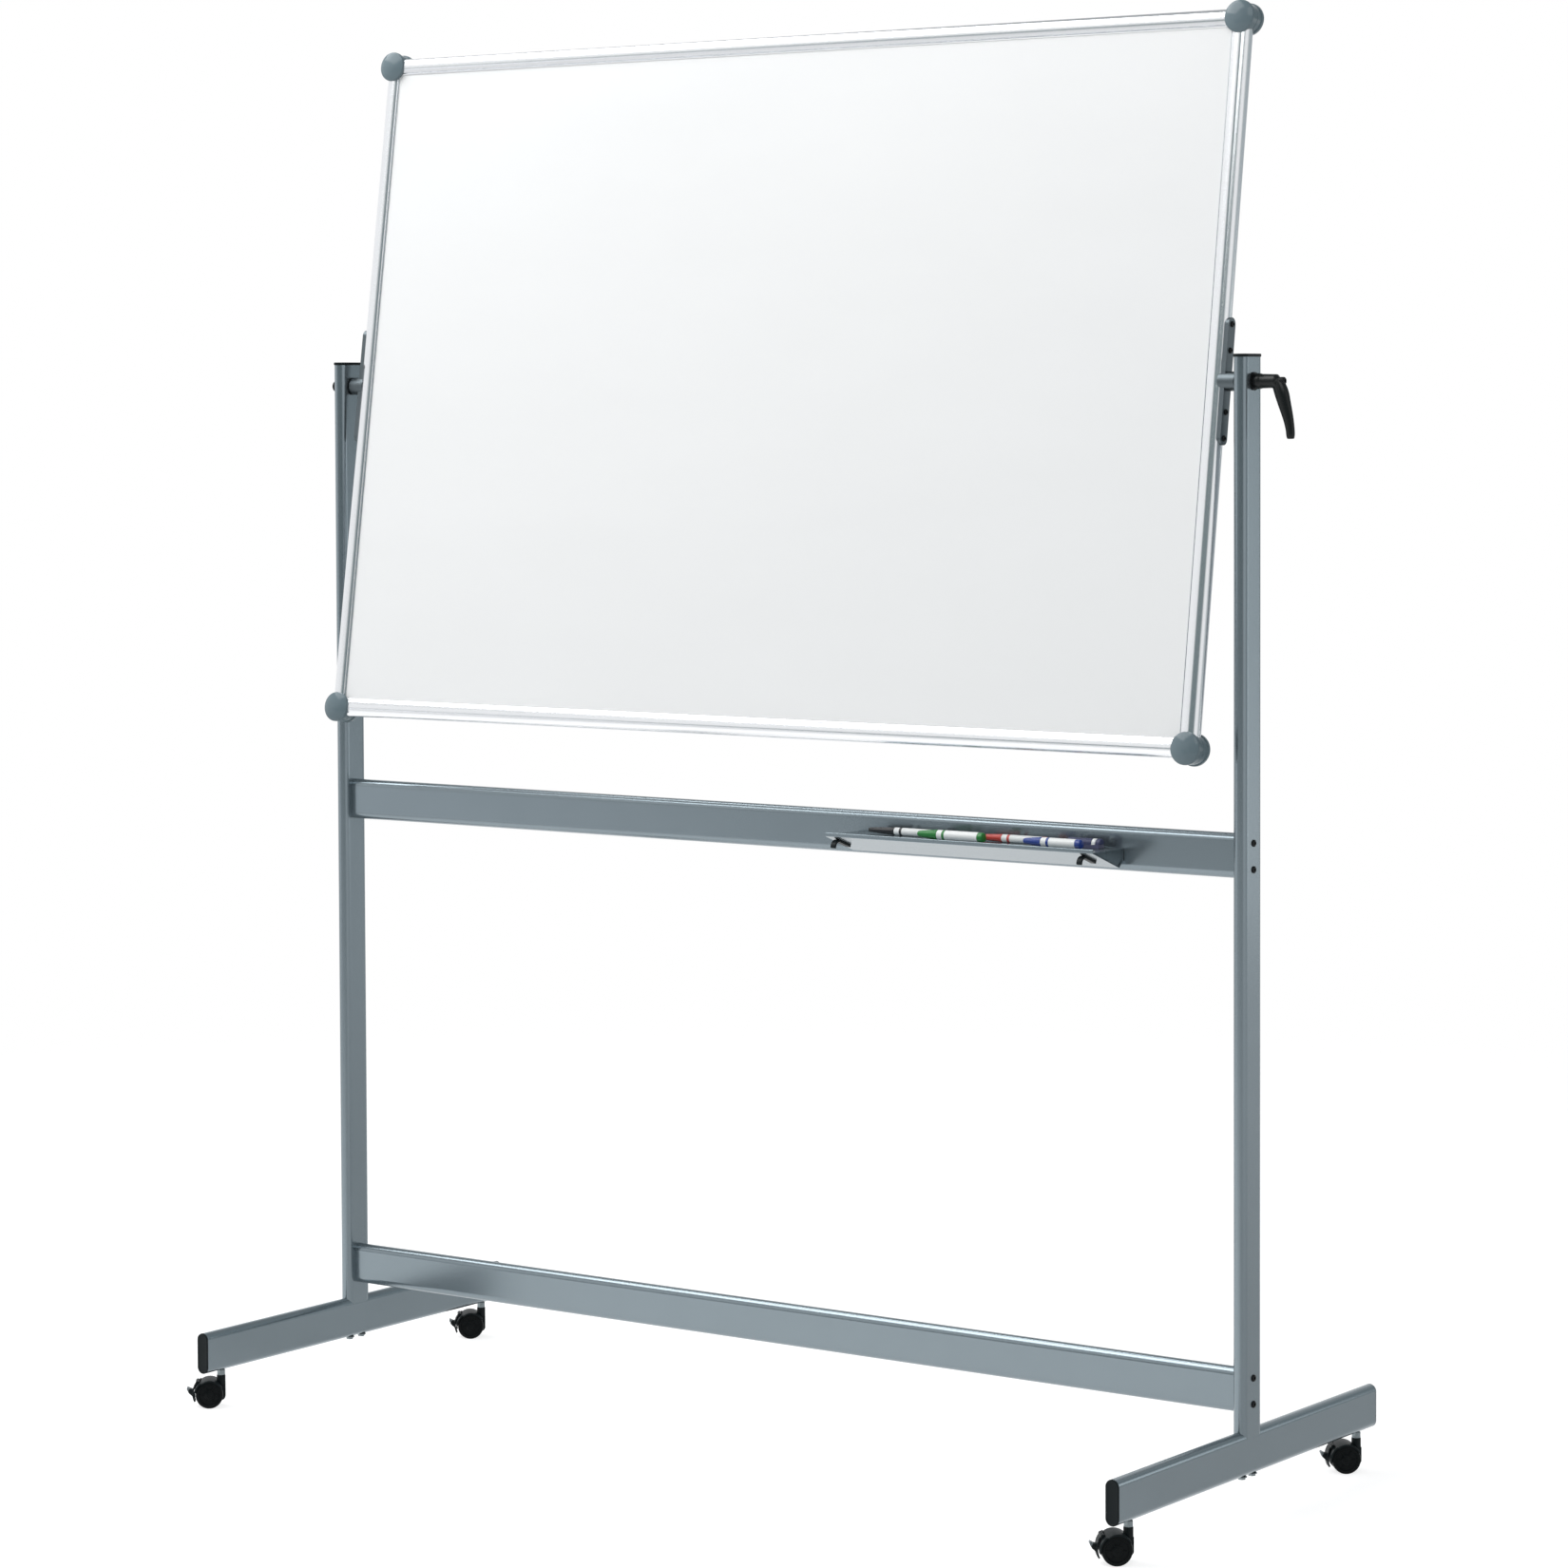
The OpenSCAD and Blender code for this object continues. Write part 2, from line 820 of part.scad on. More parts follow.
module corner_connectors() {
    color(black)
        on_board()
            for (side = [-1, 1], end = [0, 1])
                on_side(side)
                    mirror([0, 0, end])
                        corner_link();
}

// Front half of a corner cap: a domed round shell cut out for the rails, link and panel
module corner_cap() {
    band_r = corner_r - corner_band_in;
    band_y = corner_rim_y - corner_rim_t;
    dome_r = (corner_r * corner_r + corner_dome_h * corner_dome_h) / (2 * corner_dome_h);
    dome_angle = asin(corner_r / dome_r);
    dome_z = corner_rim_y + corner_dome_h - dome_r;
    difference() {
        translate([board_w / 2 - corner_inset, 0, board_h / 2 - corner_inset])
            rotate([90, 0, 0])
                rotate_extrude()
                    polygon(concat(
                        [[0, clear], [band_r, clear], [band_r, band_y], [corner_r, band_y]],
                        [for (i = [dome_steps : -1 : 0])
                            let (a = dome_angle * i / dome_steps)
                            [dome_r * sin(a), dome_z + dome_r * cos(a)]]
                    ));
        on_edge(1, 0, side_rail_l + 2 * clear)
            rail_outline(clear);
        on_edge(0, 1, long_rail_l + 2 * clear)
            rail_outline(clear);
        corner_link(clear);
        translate([0, -slot_half, 0])
            cube([panel_w / 2 + clear, 2 * slot_half, panel_h / 2 + clear]);
    }
}

// A front and a rear half at each corner
module corner_caps() {
    color(corner_grey)
        on_board()
            for (side = [-1, 1], end = [0, 1], back = [0, 1])
                on_side(side)
                    mirror([0, 0, end])
                        mirror([0, back, 0])
                            corner_cap();
}

// Saddle plates on the side rails, with the boss that the stud comes out of
module pivot_plates() {
    color(silver)
        on_board()
            for (side = [-1, 1])
                on_side(side)
                    difference() {
                        union() {
                            translate([board_w / 2 - rail_r, 0, 0])
                                rotate([90, 0, 90])
                                    linear_extrude(height = rail_r + plate_t)
                                        oval(plate_w, plate_l);
                            rod_x(boss_r, board_w / 2 - rail_r / 2, boss_top_x);
                        }
                        translate([board_w / 2 - rail_r, 0, -plate_l])
                            cylinder(r = rail_r + clear, h = 2 * plate_l);
                        translate([rail_bore_x - 2 * rail_r, -rail_r, -plate_l])
                            cube([2 * rail_r, 2 * rail_r, 2 * plate_l]);
                        rod_x(stud_r + clear / 2, board_w / 2 - rail_r, boss_top_x + cut);
                        for (z = plate_screws)
                            translate([0, 0, z])
                                rod_x(plate_screw_r + clear, board_w / 2 - rail_r, board_w / 2 + rail_r);
                    }
}

module pivot_plate_screws() {
    face_x = board_w / 2 + plate_t;
    color(black)
        on_board()
            for (side = [-1, 1], z = plate_screws)
                on_side(side)
                    translate([0, 0, z]) {
                        rod_x(plate_screw_r, face_x - plate_screw_l, face_x);
                        translate([face_x, 0, 0])
                            button_head(plate_screw_head_r, screw_head_h);
                    }
}

// Studs that the board turns on, held by their heads inside the side rails
module pivot_studs() {
    color(zinc)
        translate([0, 0, pivot_z])
            for (side = [-1, 1])
                on_side(side) {
                    end = side > 0 ? stud_right_end : stud_left_end;
                    rod_x(stud_r, stud_head_x, post_outer_x + end);
                    rod_x(stud_head_r, stud_head_x, stud_head_x + stud_head_t);
                }
}

// Domed cap nut on the left stud
module left_pivot_nut() {
    face_x = lever_washer_t + 2 * stack_gap;
    nut_h = stud_left_end - stack_gap;
    color(black)
        mirror([1, 0, 0])
            translate([post_outer_x + face_x, 0, pivot_z])
                difference() {
                    union() {
                        rod_x(left_nut_flange_r, 0, left_nut_flange_t);
                        rotate([0, 90, 0])
                            cylinder(r = left_nut_r, h = nut_h, $fn = 6);
                        translate([nut_h, 0, 0])
                            button_head(left_nut_dome_r, left_nut_dome_h);
                    }
                    rod_x(stud_r + clear / 2, -cut, stud_left_end - face_x + side_play);
                }
}

// ---------- Clamping lever, on the right post ----------

module at_lever() {
    translate([post_outer_x, 0, pivot_z])
        children();
}

// Metal insert that screws onto the stud and carries the handle
module lever_insert() {
    color(zinc)
        at_lever()
            difference() {
                union() {
                    rod_x(insert_flange_r, insert_from, insert_from + insert_flange_t);
                    rod_x(insert_r, insert_from, insert_to);
                }
                rod_x(stud_r + clear, insert_from - cut, stud_right_end + lever_gap);
                rod_x(lever_screw_r + clear, stud_right_end, insert_to + cut);
            }
}

// Screw that keeps the handle and its spring on the insert
module lever_screw() {
    color(black)
        at_lever() {
            rod_x(lever_screw_r, stud_right_end + 2 * lever_gap, lever_head_from);
            rod_x(lever_head_r, lever_head_from, lever_head_to - lever_dome_h);
            translate([lever_head_to - lever_dome_h, 0, 0])
                button_head(lever_head_r, lever_dome_h);
        }
}

// Ball flattened front to back, at one of the arm's points
module arm_ball(p) {
    translate([p[0], 0, p[1]])
        scale([1, arm_flat, 1])
            sphere(r = p[2], $fn = arm_sides);
}

// Handle: a hub over the insert and a curved arm that hangs down
module lever_handle() {
    color(black)
        at_lever()
            difference() {
                union() {
                    rod_x(hub_r, hub_from, hub_to);
                    for (i = [0 : len(arm_points) - 2])
                        hull() {
                            arm_ball(arm_points[i]);
                            arm_ball(arm_points[i + 1]);
                        }
                    arm_ball(arm_tip);
                }
                rod_x(insert_r + clear, hub_from - cut, hub_bore_to);
                rod_x(lever_screw_r + lever_screw_play, hub_bore_to - cut, hub_web_to + cut);
                rod_x(hub_counter_r, hub_web_to, 2 * lever_head_to);
            }
}

// One ring of the spring's wire at a fraction s of its length
function spring_ring(s) =
    let (
        from = hub_web_to + stack_gap + spring_wire,
        to = lever_head_from - stack_gap - spring_wire,
        turn = 360 * spring_turns * s
    )
    [for (k = [0 : spring_sides - 1])
        let (a = 360 * k / spring_sides, r = spring_r + spring_wire * cos(a))
        [from + (to - from) * s + spring_wire * sin(a), r * cos(turn), r * sin(turn)]];

// Small compression spring between the handle's web and the screw's head
module lever_spring() {
    n = spring_turns * spring_steps;
    m = spring_sides;
    points = [for (i = [0 : n]) each spring_ring(i / n)];
    walls = [for (i = [0 : n - 1], k = [0 : m - 1])
        let (a = i * m + k, b = i * m + (k + 1) % m)
        [a, b, b + m, a + m]];
    ends = [[for (k = [m - 1 : -1 : 0]) k], [for (k = [0 : m - 1]) n * m + k]];
    color(zinc)
        at_lever()
            polyhedron(points = points, faces = concat(walls, ends));
}

// ---------- Pen tray and what lies in it ----------

// Bent sheet of even thickness through a list of points
module sheet_run(points, t) {
    for (i = [0 : len(points) - 2]) {
        step = points[i + 1] - points[i];
        translate(points[i])
            rotate(atan2(step[1], step[0]))
                translate([0, -t / 2])
                    square([norm(step), t]);
    }
    for (p = points)
        translate(p)
            circle(r = t / 2);
}

// Extrudes a section drawn in Y and Z along X
module along_x(from, length) {
    translate([from, 0, 0])
        rotate([90, 0, 90])
            linear_extrude(height = length)
                children();
}

// Hollow three-sided tray: a shelf with a raised rim, a sloping front and a back wall
module pen_tray() {
    rim = [-tray_reach, tray_rim_z];
    front = [-tray_reach, tray_shelf_z];
    fold = [tray_fold_y, tray_fold_z];
    back_low = [tray_back_y, tray_chamfer_z];
    back_high = [tray_back_y, tray_shelf_z];
    color(silver)
        along_x(tray_x, tray_l)
            sheet_run([rim, front, fold, back_low, back_high, front], tray_sheet);
}

// Magnet strips that hold the tray to the crossbar
module tray_magnets() {
    back_face = tray_back_y + tray_sheet / 2;
    color(black)
        for (side = [-1, 1])
            translate([
                tray_x + tray_l / 2 + side * tray_magnet_off - tray_magnet_l / 2,
                back_face,
                tray_shelf_z - tray_magnet_h
            ])
                cube([tray_magnet_l, tray_magnet_t, tray_magnet_h]);
}

// Black hooks under the sloping front
module tray_hooks() {
    slope = atan2(tray_shelf_z - tray_fold_z, tray_reach + tray_fold_y);
    color(black)
        for (x = hook_x)
            along_x(tray_x + x, hook_w)
                translate([-tray_reach, tray_shelf_z])
                    rotate(-slope)
                        translate([hook_in, -tray_sheet / 2 - clear])
                            difference() {
                                union() {
                                    translate([0, -hook_r])
                                        circle(r = hook_r);
                                    translate([0, -hook_t])
                                        square([hook_tail_l, hook_t]);
                                }
                                translate([0, -hook_r])
                                    circle(r = hook_r - hook_t);
                                translate([0, -3 * hook_r])
                                    square([3 * hook_r, 3 * hook_r - hook_t]);
                                translate([-2 * hook_r, -4 * hook_r])
                                    square([4 * hook_r, 3 * hook_r - hook_t]);
                            }
}

// Capped pen lying along X: a cap over the barrel's nose, and the barrel
module marker(pen, tint) {
    r = pen[2];
    length = pen[3];
    cap_l = pen[4];
    bore_l = 2 * nose_l;
    translate([tray_x + pen[0], pen[1], marker_floor + r])
        rotate([0, 90, 0]) {
            color(tint)
                rotate_extrude()
                    polygon([
                        [0, 0],
                        [r * cap_tip, 0],
                        [r * cap_shoulder, nose_l],
                        [r, cap_l],
                        [r * cap_bore, cap_l],
                        [r * pen_nose, bore_l],
                        [0, bore_l]
                    ]);
            color(board_white)
                rotate_extrude()
                    polygon([
                        [0, bore_l + stack_gap],
                        [r * pen_nose - stack_gap, bore_l + stack_gap],
                        [r * cap_bore - stack_gap, cap_l],
                        [r * cap_bore - stack_gap, cap_l + stack_gap],
                        [r * barrel_share, cap_l + stack_gap],
                        [r * barrel_share, length - stack_gap],
                        [r * cap_bore, length],
                        [0, length]
                    ]);
        }
}
module black_marker() { marker(black_pen, black); }
module green_marker() { marker(green_pen, pen_green); }
module red_marker() { marker(red_pen, pen_red); }
module blue_marker() { marker(blue_pen, pen_blue); }

// Small hand eraser: a felt pad under a rounded grip
module board_eraser() {
    color(felt_blue)
        along_x(tray_x + eraser_x, eraser_l)
            translate([rear_row_y, marker_floor]) {
                translate([-eraser_r, 0])
                    square([2 * eraser_r, eraser_r]);
                translate([0, eraser_r])
                    circle(r = eraser_r);
            }
}

// ---------- Output ----------
left_post();
right_post();
post_top_caps();
left_foot();
right_foot();
foot_end_caps();
upper_crossbar();
lower_crossbar();
crossbar_inserts();
crossbar_screws();
post_foot_inserts();
foot_bolts();
caster_sockets();
caster_stems();
pivot_bushes();
pivot_washers();
board_core();
writing_sheets();
top_rail();
bottom_rail();
left_rail();
right_rail();
corner_connectors();
corner_caps();
pivot_plates();
pivot_plate_screws();
pivot_studs();
left_pivot_nut();
lever_insert();
lever_screw();
lever_handle();
lever_spring();
pen_tray();
tray_hooks();
tray_magnets();
black_marker();
green_marker();
red_marker();
blue_marker();
board_eraser();
front_left_caster_housing();
front_left_caster_axle();
front_left_caster_wheel_a();
front_left_caster_wheel_b();
front_left_caster_brake();
front_right_caster_housing();
front_right_caster_axle();
front_right_caster_wheel_a();
front_right_caster_wheel_b();
front_right_caster_brake();
rear_left_caster_housing();
rear_left_caster_axle();
rear_left_caster_wheel_a();
rear_left_caster_wheel_b();
rear_left_caster_brake();
rear_right_caster_housing();
rear_right_caster_axle();
rear_right_caster_wheel_a();
rear_right_caster_wheel_b();
rear_right_caster_brake();
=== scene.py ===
"""Rolling whiteboard: finishes, fine shapes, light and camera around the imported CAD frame."""
import json
import math

import bmesh
import bpy
from mathutils import Matrix, Vector


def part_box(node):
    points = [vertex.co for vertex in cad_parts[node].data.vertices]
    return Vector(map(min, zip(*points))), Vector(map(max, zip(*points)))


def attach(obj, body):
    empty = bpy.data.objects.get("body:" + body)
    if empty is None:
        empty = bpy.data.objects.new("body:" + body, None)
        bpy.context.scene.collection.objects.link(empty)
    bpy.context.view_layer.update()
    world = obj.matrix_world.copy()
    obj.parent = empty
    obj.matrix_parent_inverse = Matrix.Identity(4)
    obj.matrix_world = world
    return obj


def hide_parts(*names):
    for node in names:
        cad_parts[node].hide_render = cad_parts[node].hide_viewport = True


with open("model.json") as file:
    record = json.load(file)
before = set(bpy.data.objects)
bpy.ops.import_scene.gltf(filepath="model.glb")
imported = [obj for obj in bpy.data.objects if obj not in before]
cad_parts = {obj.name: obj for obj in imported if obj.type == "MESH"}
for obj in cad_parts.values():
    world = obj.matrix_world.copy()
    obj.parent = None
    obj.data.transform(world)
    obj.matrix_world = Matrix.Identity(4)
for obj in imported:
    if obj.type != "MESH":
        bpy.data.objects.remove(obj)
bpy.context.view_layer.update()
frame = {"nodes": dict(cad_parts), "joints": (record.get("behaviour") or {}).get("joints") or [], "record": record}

MM = 0.001
NODES = frame["nodes"]
JOINTS = {joint["name"]: joint for joint in frame["joints"]}
PIVOT = Vector(JOINTS["board_turn"]["pos_m"])
BOARD_TILT = math.radians(8.3)
BOARD = Matrix.Translation(PIVOT) @ Matrix.Rotation(-BOARD_TILT, 4, "X")


# ---------- Materials ----------

def srgb(red, green, blue):
    """Linear colour from 0-255 screen values."""
    def linear(value):
        value /= 255
        return value / 12.92 if value <= 0.04045 else ((value + 0.055) / 1.055) ** 2.4
    return (linear(red), linear(green), linear(blue), 1)


class Nodes:
    """Short calls for building one material's node tree."""

    def __init__(self, name):
        self.material = bpy.data.materials.new(name)
        self.material.use_nodes = True
        self.tree = self.material.node_tree
        self.shader = self.tree.nodes["Principled BSDF"]

    def add(self, kind, **values):
        node = self.tree.nodes.new(kind)
        for key, value in values.items():
            if key in node.inputs:
                node.inputs[key].default_value = value
            else:
                setattr(node, key, value)
        return node

    def link(self, source, target):
        self.tree.links.new(source, target)

    def place(self, scale=(1, 1, 1)):
        """Object coordinates in metres, stretched by scale."""
        where = self.add("ShaderNodeTexCoord")
        mapping = self.add("ShaderNodeMapping")
        mapping.inputs["Scale"].default_value = scale
        self.link(where.outputs["Object"], mapping.inputs["Vector"])
        return mapping.outputs["Vector"]

    def noise(self, size, detail=3, stretch=(1, 1, 1)):
        """Noise whose lumps are about size metres across."""
        node = self.add("ShaderNodeTexNoise", Scale=1 / size, Detail=detail)
        self.link(self.place(stretch), node.inputs["Vector"])
        return node.outputs["Fac"]

    def spread(self, value, low, high):
        """Maps 0.3-0.7 of a noise to low-high."""
        node = self.add("ShaderNodeMapRange")
        node.inputs["From Min"].default_value = 0.3
        node.inputs["From Max"].default_value = 0.7
        node.inputs["To Min"].default_value = low
        node.inputs["To Max"].default_value = high
        self.link(value, node.inputs["Value"])
        return node.outputs["Result"]

    def mix(self, factor, first, second):
        node = self.add("ShaderNodeMix", data_type="RGBA")
        node.inputs[6].default_value = first
        node.inputs[7].default_value = second
        self.link(factor, node.inputs[0])
        return node.outputs[2]

    def bump(self, height, distance, strength=0.4):
        node = self.add("ShaderNodeBump", Distance=distance, Strength=strength)
        self.link(height, node.inputs["Height"])
        self.link(node.outputs["Normal"], self.shader.inputs["Normal"])

    def set(self, **values):
        for key, value in values.items():
            socket = self.shader.inputs[key.replace("_", " ")]
            if hasattr(value, "is_linked"):
                self.link(value, socket)
            else:
                socket.default_value = value


def shade(colour, factor):
    return tuple(channel * factor for channel in colour[:3]) + (1,)


def coated(name, colour, metallic, rough, grain=0.6 * MM, depth=0.02 * MM, vary=0.06, shine=0.5):
    """Paint or plastic: slow colour drift, fine grain in bump and roughness."""
    n = Nodes(name)
    drift = n.noise(60 * MM, 2)
    fine = n.noise(grain, 2)
    n.set(
        Base_Color=n.mix(drift, shade(colour, 1 - vary), shade(colour, 1 + vary)),
        Metallic=metallic,
        Roughness=n.spread(fine, rough * 0.85, rough * 1.15),
        Specular_IOR_Level=shine,
    )
    n.bump(fine, depth)
    return n.material


def brushed(name, colour, rough, stretch):
    """Metal with fine lines along one axis: the axis with the small stretch."""
    n = Nodes(name)
    lines = n.noise(0.5 * MM, 3, stretch)
    n.set(
        Base_Color=n.mix(lines, shade(colour, 0.88), shade(colour, 1.08)),
        Metallic=0.9,
        Roughness=n.spread(lines, rough * 0.8, rough * 1.25),
    )
    n.bump(lines, 0.01 * MM)
    return n.material


def board_enamel():
    """Gloss white enamel with faint wiped smears in its roughness."""
    n = Nodes("board_enamel")
    smear = n.noise(90 * MM, 4, (0.35, 1, 1))
    orange_peel = n.noise(4 * MM, 2)
    n.set(
        Base_Color=n.mix(smear, srgb(222, 222, 222), srgb(225, 225, 225)),
        Roughness=n.spread(smear, 0.30, 0.36),
        Coat_Weight=0.1,
        Coat_Roughness=0.08,
    )
    n.bump(orange_peel, 0.015 * MM, 0.25)
    return n.material


def felt():
    n = Nodes("felt")
    fuzz = n.noise(0.7 * MM, 5)
    n.set(
        Base_Color=n.mix(fuzz, srgb(50, 52, 78), srgb(86, 88, 122)),
        Roughness=0.95,
        Sheen_Weight=0.5,
    )
    n.bump(fuzz, 0.3 * MM, 0.8)
    return n.material


MATERIALS = {
    "frame_paint": coated("frame_paint", srgb(133, 144, 150), 0.8, 0.22, 0.5 * MM, 0.002 * MM, 0.03),
    "rail": coated("rail_anodised", srgb(236, 237, 239), 0.9, 0.2, 0.8 * MM, 0.003 * MM, 0.02),
    "board_face": board_enamel(),
    "panel_core": coated("fibreboard", srgb(150, 122, 86), 0, 0.9, 1.5 * MM, 0.2 * MM, 0.2),
    "corner_cap": coated("corner_plastic", srgb(98, 112, 118), 0, 0.14, 1 * MM, 0.003 * MM, 0.05, 0.2),
    "black_plastic": coated("black_plastic", srgb(18, 25, 27), 0, 0.45, 0.4 * MM, 0.02 * MM, 0.15, 0.15),
    "black_screw": coated("black_oxide", srgb(18, 20, 22), 0.2, 0.4, 0.3 * MM, 0.01 * MM, 0.2, 0.25),
    "zinc": brushed("zinc_plate", srgb(138, 147, 150), 0.3, (1, 1, 0.2)),
    "bracket": brushed("bracket_metal", srgb(96, 104, 108), 0.38, (1, 1, 0.05)),
    "wheel": coated("wheel_nylon", srgb(12, 16, 17), 0, 0.4, 0.8 * MM, 0.01 * MM, 0.12, 0.12),
    "magnet": coated("magnet_strip", srgb(38, 38, 38), 0, 0.85, 0.5 * MM, 0.05 * MM),
    "black_pen": coated("black_cap", srgb(22, 24, 28), 0, 0.3),
    "green_pen": coated("green_cap", srgb(20, 120, 45), 0, 0.3),
    "red_pen": coated("red_cap", srgb(196, 70, 62), 0, 0.3),
    "blue_pen": coated("blue_cap", srgb(30, 60, 138), 0, 0.3),
    "eraser": felt(),
    "eraser_grip": coated("eraser_grip", srgb(58, 62, 96), 0, 0.5),
    "pen_barrel": coated("pen_barrel", srgb(232, 233, 232), 0, 0.35),
    "lever_black": coated("lever_black", srgb(14, 18, 18), 0, 0.3, 0.5 * MM, 0.01 * MM, 0.1, 0.3),
    "pedal_tip": coated("pedal_tip", srgb(96, 104, 108), 0, 0.4),
}
SLOTS = {part["node"]: part["material_slot"] for part in frame["record"]["subparts"]}
SMOOTH_BELOW = math.radians(32)


def smooth(mesh):
    mesh.shade_smooth()
    mesh.set_sharp_from_angle(angle=SMOOTH_BELOW)


for node_name, node_object in NODES.items():
    node_object.data.materials.clear()
    node_object.data.materials.append(MATERIALS[SLOTS[node_name]])
    smooth(node_object.data)


# ---------- Mesh tools ----------

def ring(outline, height, matrix=Matrix()):
    """Outline of (x, y) pairs at a height, as points."""
    return [matrix @ Vector((x, y, height)) for x, y in outline]


def loft(bm, rings, slot=0):
    """Skin over rings of equal length, closed with a face at each end. A one-point ring is a tip."""
    rows = [[bm.verts.new(point) for point in points] for points in rings]
    count = max(len(row) for row in rows)
    for low, high in zip(rows, rows[1:]):
        for k in range(count):
            nxt = (k + 1) % count
            corners = [low[k % len(low)], low[nxt % len(low)], high[nxt % len(high)], high[k % len(high)]]
            face = bm.faces.new(list(dict.fromkeys(corners)))
            face.material_index = slot
    for row in (rows[0], rows[-1]):
        if len(row) > 2:
            bm.faces.new(row).material_index = slot


def circle(radius, count=48):
    return [(radius * math.cos(math.tau * k / count), radius * math.sin(math.tau * k / count))
            for k in range(count)]


def hexagon(radius, count=48):
    """Hexagon with count points on it, so that it joins a circle of as many."""
    points = []
    for k in range(count):
        angle = math.tau * k / count
        reach = radius * math.cos(math.pi / 6) / math.cos((angle % (math.pi / 3)) - math.pi / 6)
        points.append((reach * math.cos(angle), reach * math.sin(angle)))
    return points


def oval(thick, long, count=48):
    """Flat-sided oval: thick across X, long along Y."""
    radius = thick / 2
    shift = (long - thick) / 2
    points = []
    for end in (1, -1):
        for k in range(count // 2 + 1):
            angle = math.pi * k / (count // 2)
            points.append((end * radius * math.cos(angle), end * (shift + radius * math.sin(angle))))
    return points


def inset(outline, distance):
    """Outline moved inwards along its corner normals (outline runs anticlockwise)."""
    moved = []
    count = len(outline)
    for k in range(count):
        before = Vector(outline[k]) - Vector(outline[k - 1])
        after = Vector(outline[(k + 1) % count]) - Vector(outline[k])
        along = (before.normalized() + after.normalized()).normalized()
        moved.append((outline[k][0] - along.y * distance, outline[k][1] + along.x * distance))
    return moved


def lathe(bm, profile, matrix=Matrix(), slot=0, count=48):
    """Turns (radius, height) points about local Z."""
    rings = []
    for radius, height in profile:
        rings.append(ring(circle(radius, count) if radius > 0 else [(0, 0)], height, matrix))
    loft(bm, rings, slot)


def rounded_block(bm, outline, low, high, edge, matrix=Matrix(), slot=0, steps=4):
    """Outline raised from low to high, its end edges rounded by edge."""
    lower, upper = [], []
    for k in range(steps + 1):
        angle = math.pi / 2 * k / steps
        by_sine = edge * (1 - math.sin(angle))
        by_cosine = edge * (1 - math.cos(angle))
        lower.append(ring(inset(outline, by_sine), low + by_cosine, matrix))
        upper.append(ring(inset(outline, by_cosine), high - by_sine, matrix))
    loft(bm, lower + upper, slot)


def arc(radius, start, end, count, centre=(0, 0)):
    """Points on an arc, angles in degrees."""
    points = []
    for k in range(count + 1):
        angle = math.radians(start + (end - start) * k / count)
        points.append((centre[0] + radius * math.cos(angle), centre[1] + radius * math.sin(angle)))
    return points


def piece(name, bm, body, slots, replaced=()):
    """Turns a bmesh into a shown piece on a body. slots are material names."""
    bmesh.ops.recalc_face_normals(bm, faces=bm.faces)
    mesh = bpy.data.meshes.new(name)
    bm.to_mesh(mesh)
    bm.free()
    for slot in slots:
        mesh.materials.append(MATERIALS[slot])
    smooth(mesh)
    made = bpy.data.objects.new(name, mesh)
    bpy.context.scene.collection.objects.link(made)
    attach(made, body)
    if replaced:
        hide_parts(*replaced)


def local_box(node, matrix):
    """Lowest and highest corner of a CAD node, measured in a turned frame."""
    back = matrix.inverted()
    points = [back @ vertex.co for vertex in NODES[node].data.vertices]
    low = Vector([min(point[axis] for point in points) for axis in range(3)])
    high = Vector([max(point[axis] for point in points) for axis in range(3)])
    return low, high


def facing(direction, place):
    """Frame at place whose Z points along direction."""
    return Matrix.Translation(place) @ Vector(direction).to_track_quat("Z", "Y").to_matrix().to_4x4()


def button_screw(bm, radius, height, shank_r, shank_l, matrix):
    """Low-domed head with a hex socket, and its plain shank below."""
    lathe(bm, [(0, -shank_l), (shank_r, -shank_l), (shank_r, -0.05 * MM), (0, -0.05 * MM)], matrix)
    rings = [
        ring(circle(radius * 0.96), 0, matrix),
        ring(circle(radius), height * 0.12, matrix),
        ring(circle(radius), height * 0.4, matrix),
        ring(circle(radius * 0.93), height * 0.66, matrix),
        ring(circle(radius * 0.78), height * 0.87, matrix),
        ring(circle(radius * 0.6), height, matrix),
        ring(hexagon(radius * 0.48), height, matrix),
        ring(hexagon(radius * 0.46), height * 0.35, matrix),
    ]
    loft(bm, rings)


# ---------- Stand ----------

POST_LOW, POST_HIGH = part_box("right_post")
FOOT_LOW, FOOT_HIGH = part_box("right_foot")
TUBE = POST_HIGH.x - POST_LOW.x
POST_X = (POST_HIGH.x + POST_LOW.x) / 2
PLUG_INSET = 3.2 * MM


def post_caps():
    low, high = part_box("post_top_caps")
    flange = high.z - POST_HIGH.z
    over = (high.x - POST_HIGH.x) * 2
    depth = POST_HIGH.y - POST_LOW.y
    bm = bmesh.new()
    for side in (-1, 1):
        place = Matrix.Translation((side * POST_X, 0, POST_HIGH.z))
        rounded_block(bm, oval(TUBE + over, depth + over), 0.05 * MM, flange, 1.1 * MM, place)
        plug = oval(TUBE - PLUG_INSET, depth - PLUG_INSET)
        rounded_block(bm, plug, low.z - POST_HIGH.z, 0, 0.5 * MM, place)
    piece("post_caps", bm, "stand", ["black_plastic"], ["post_top_caps"])


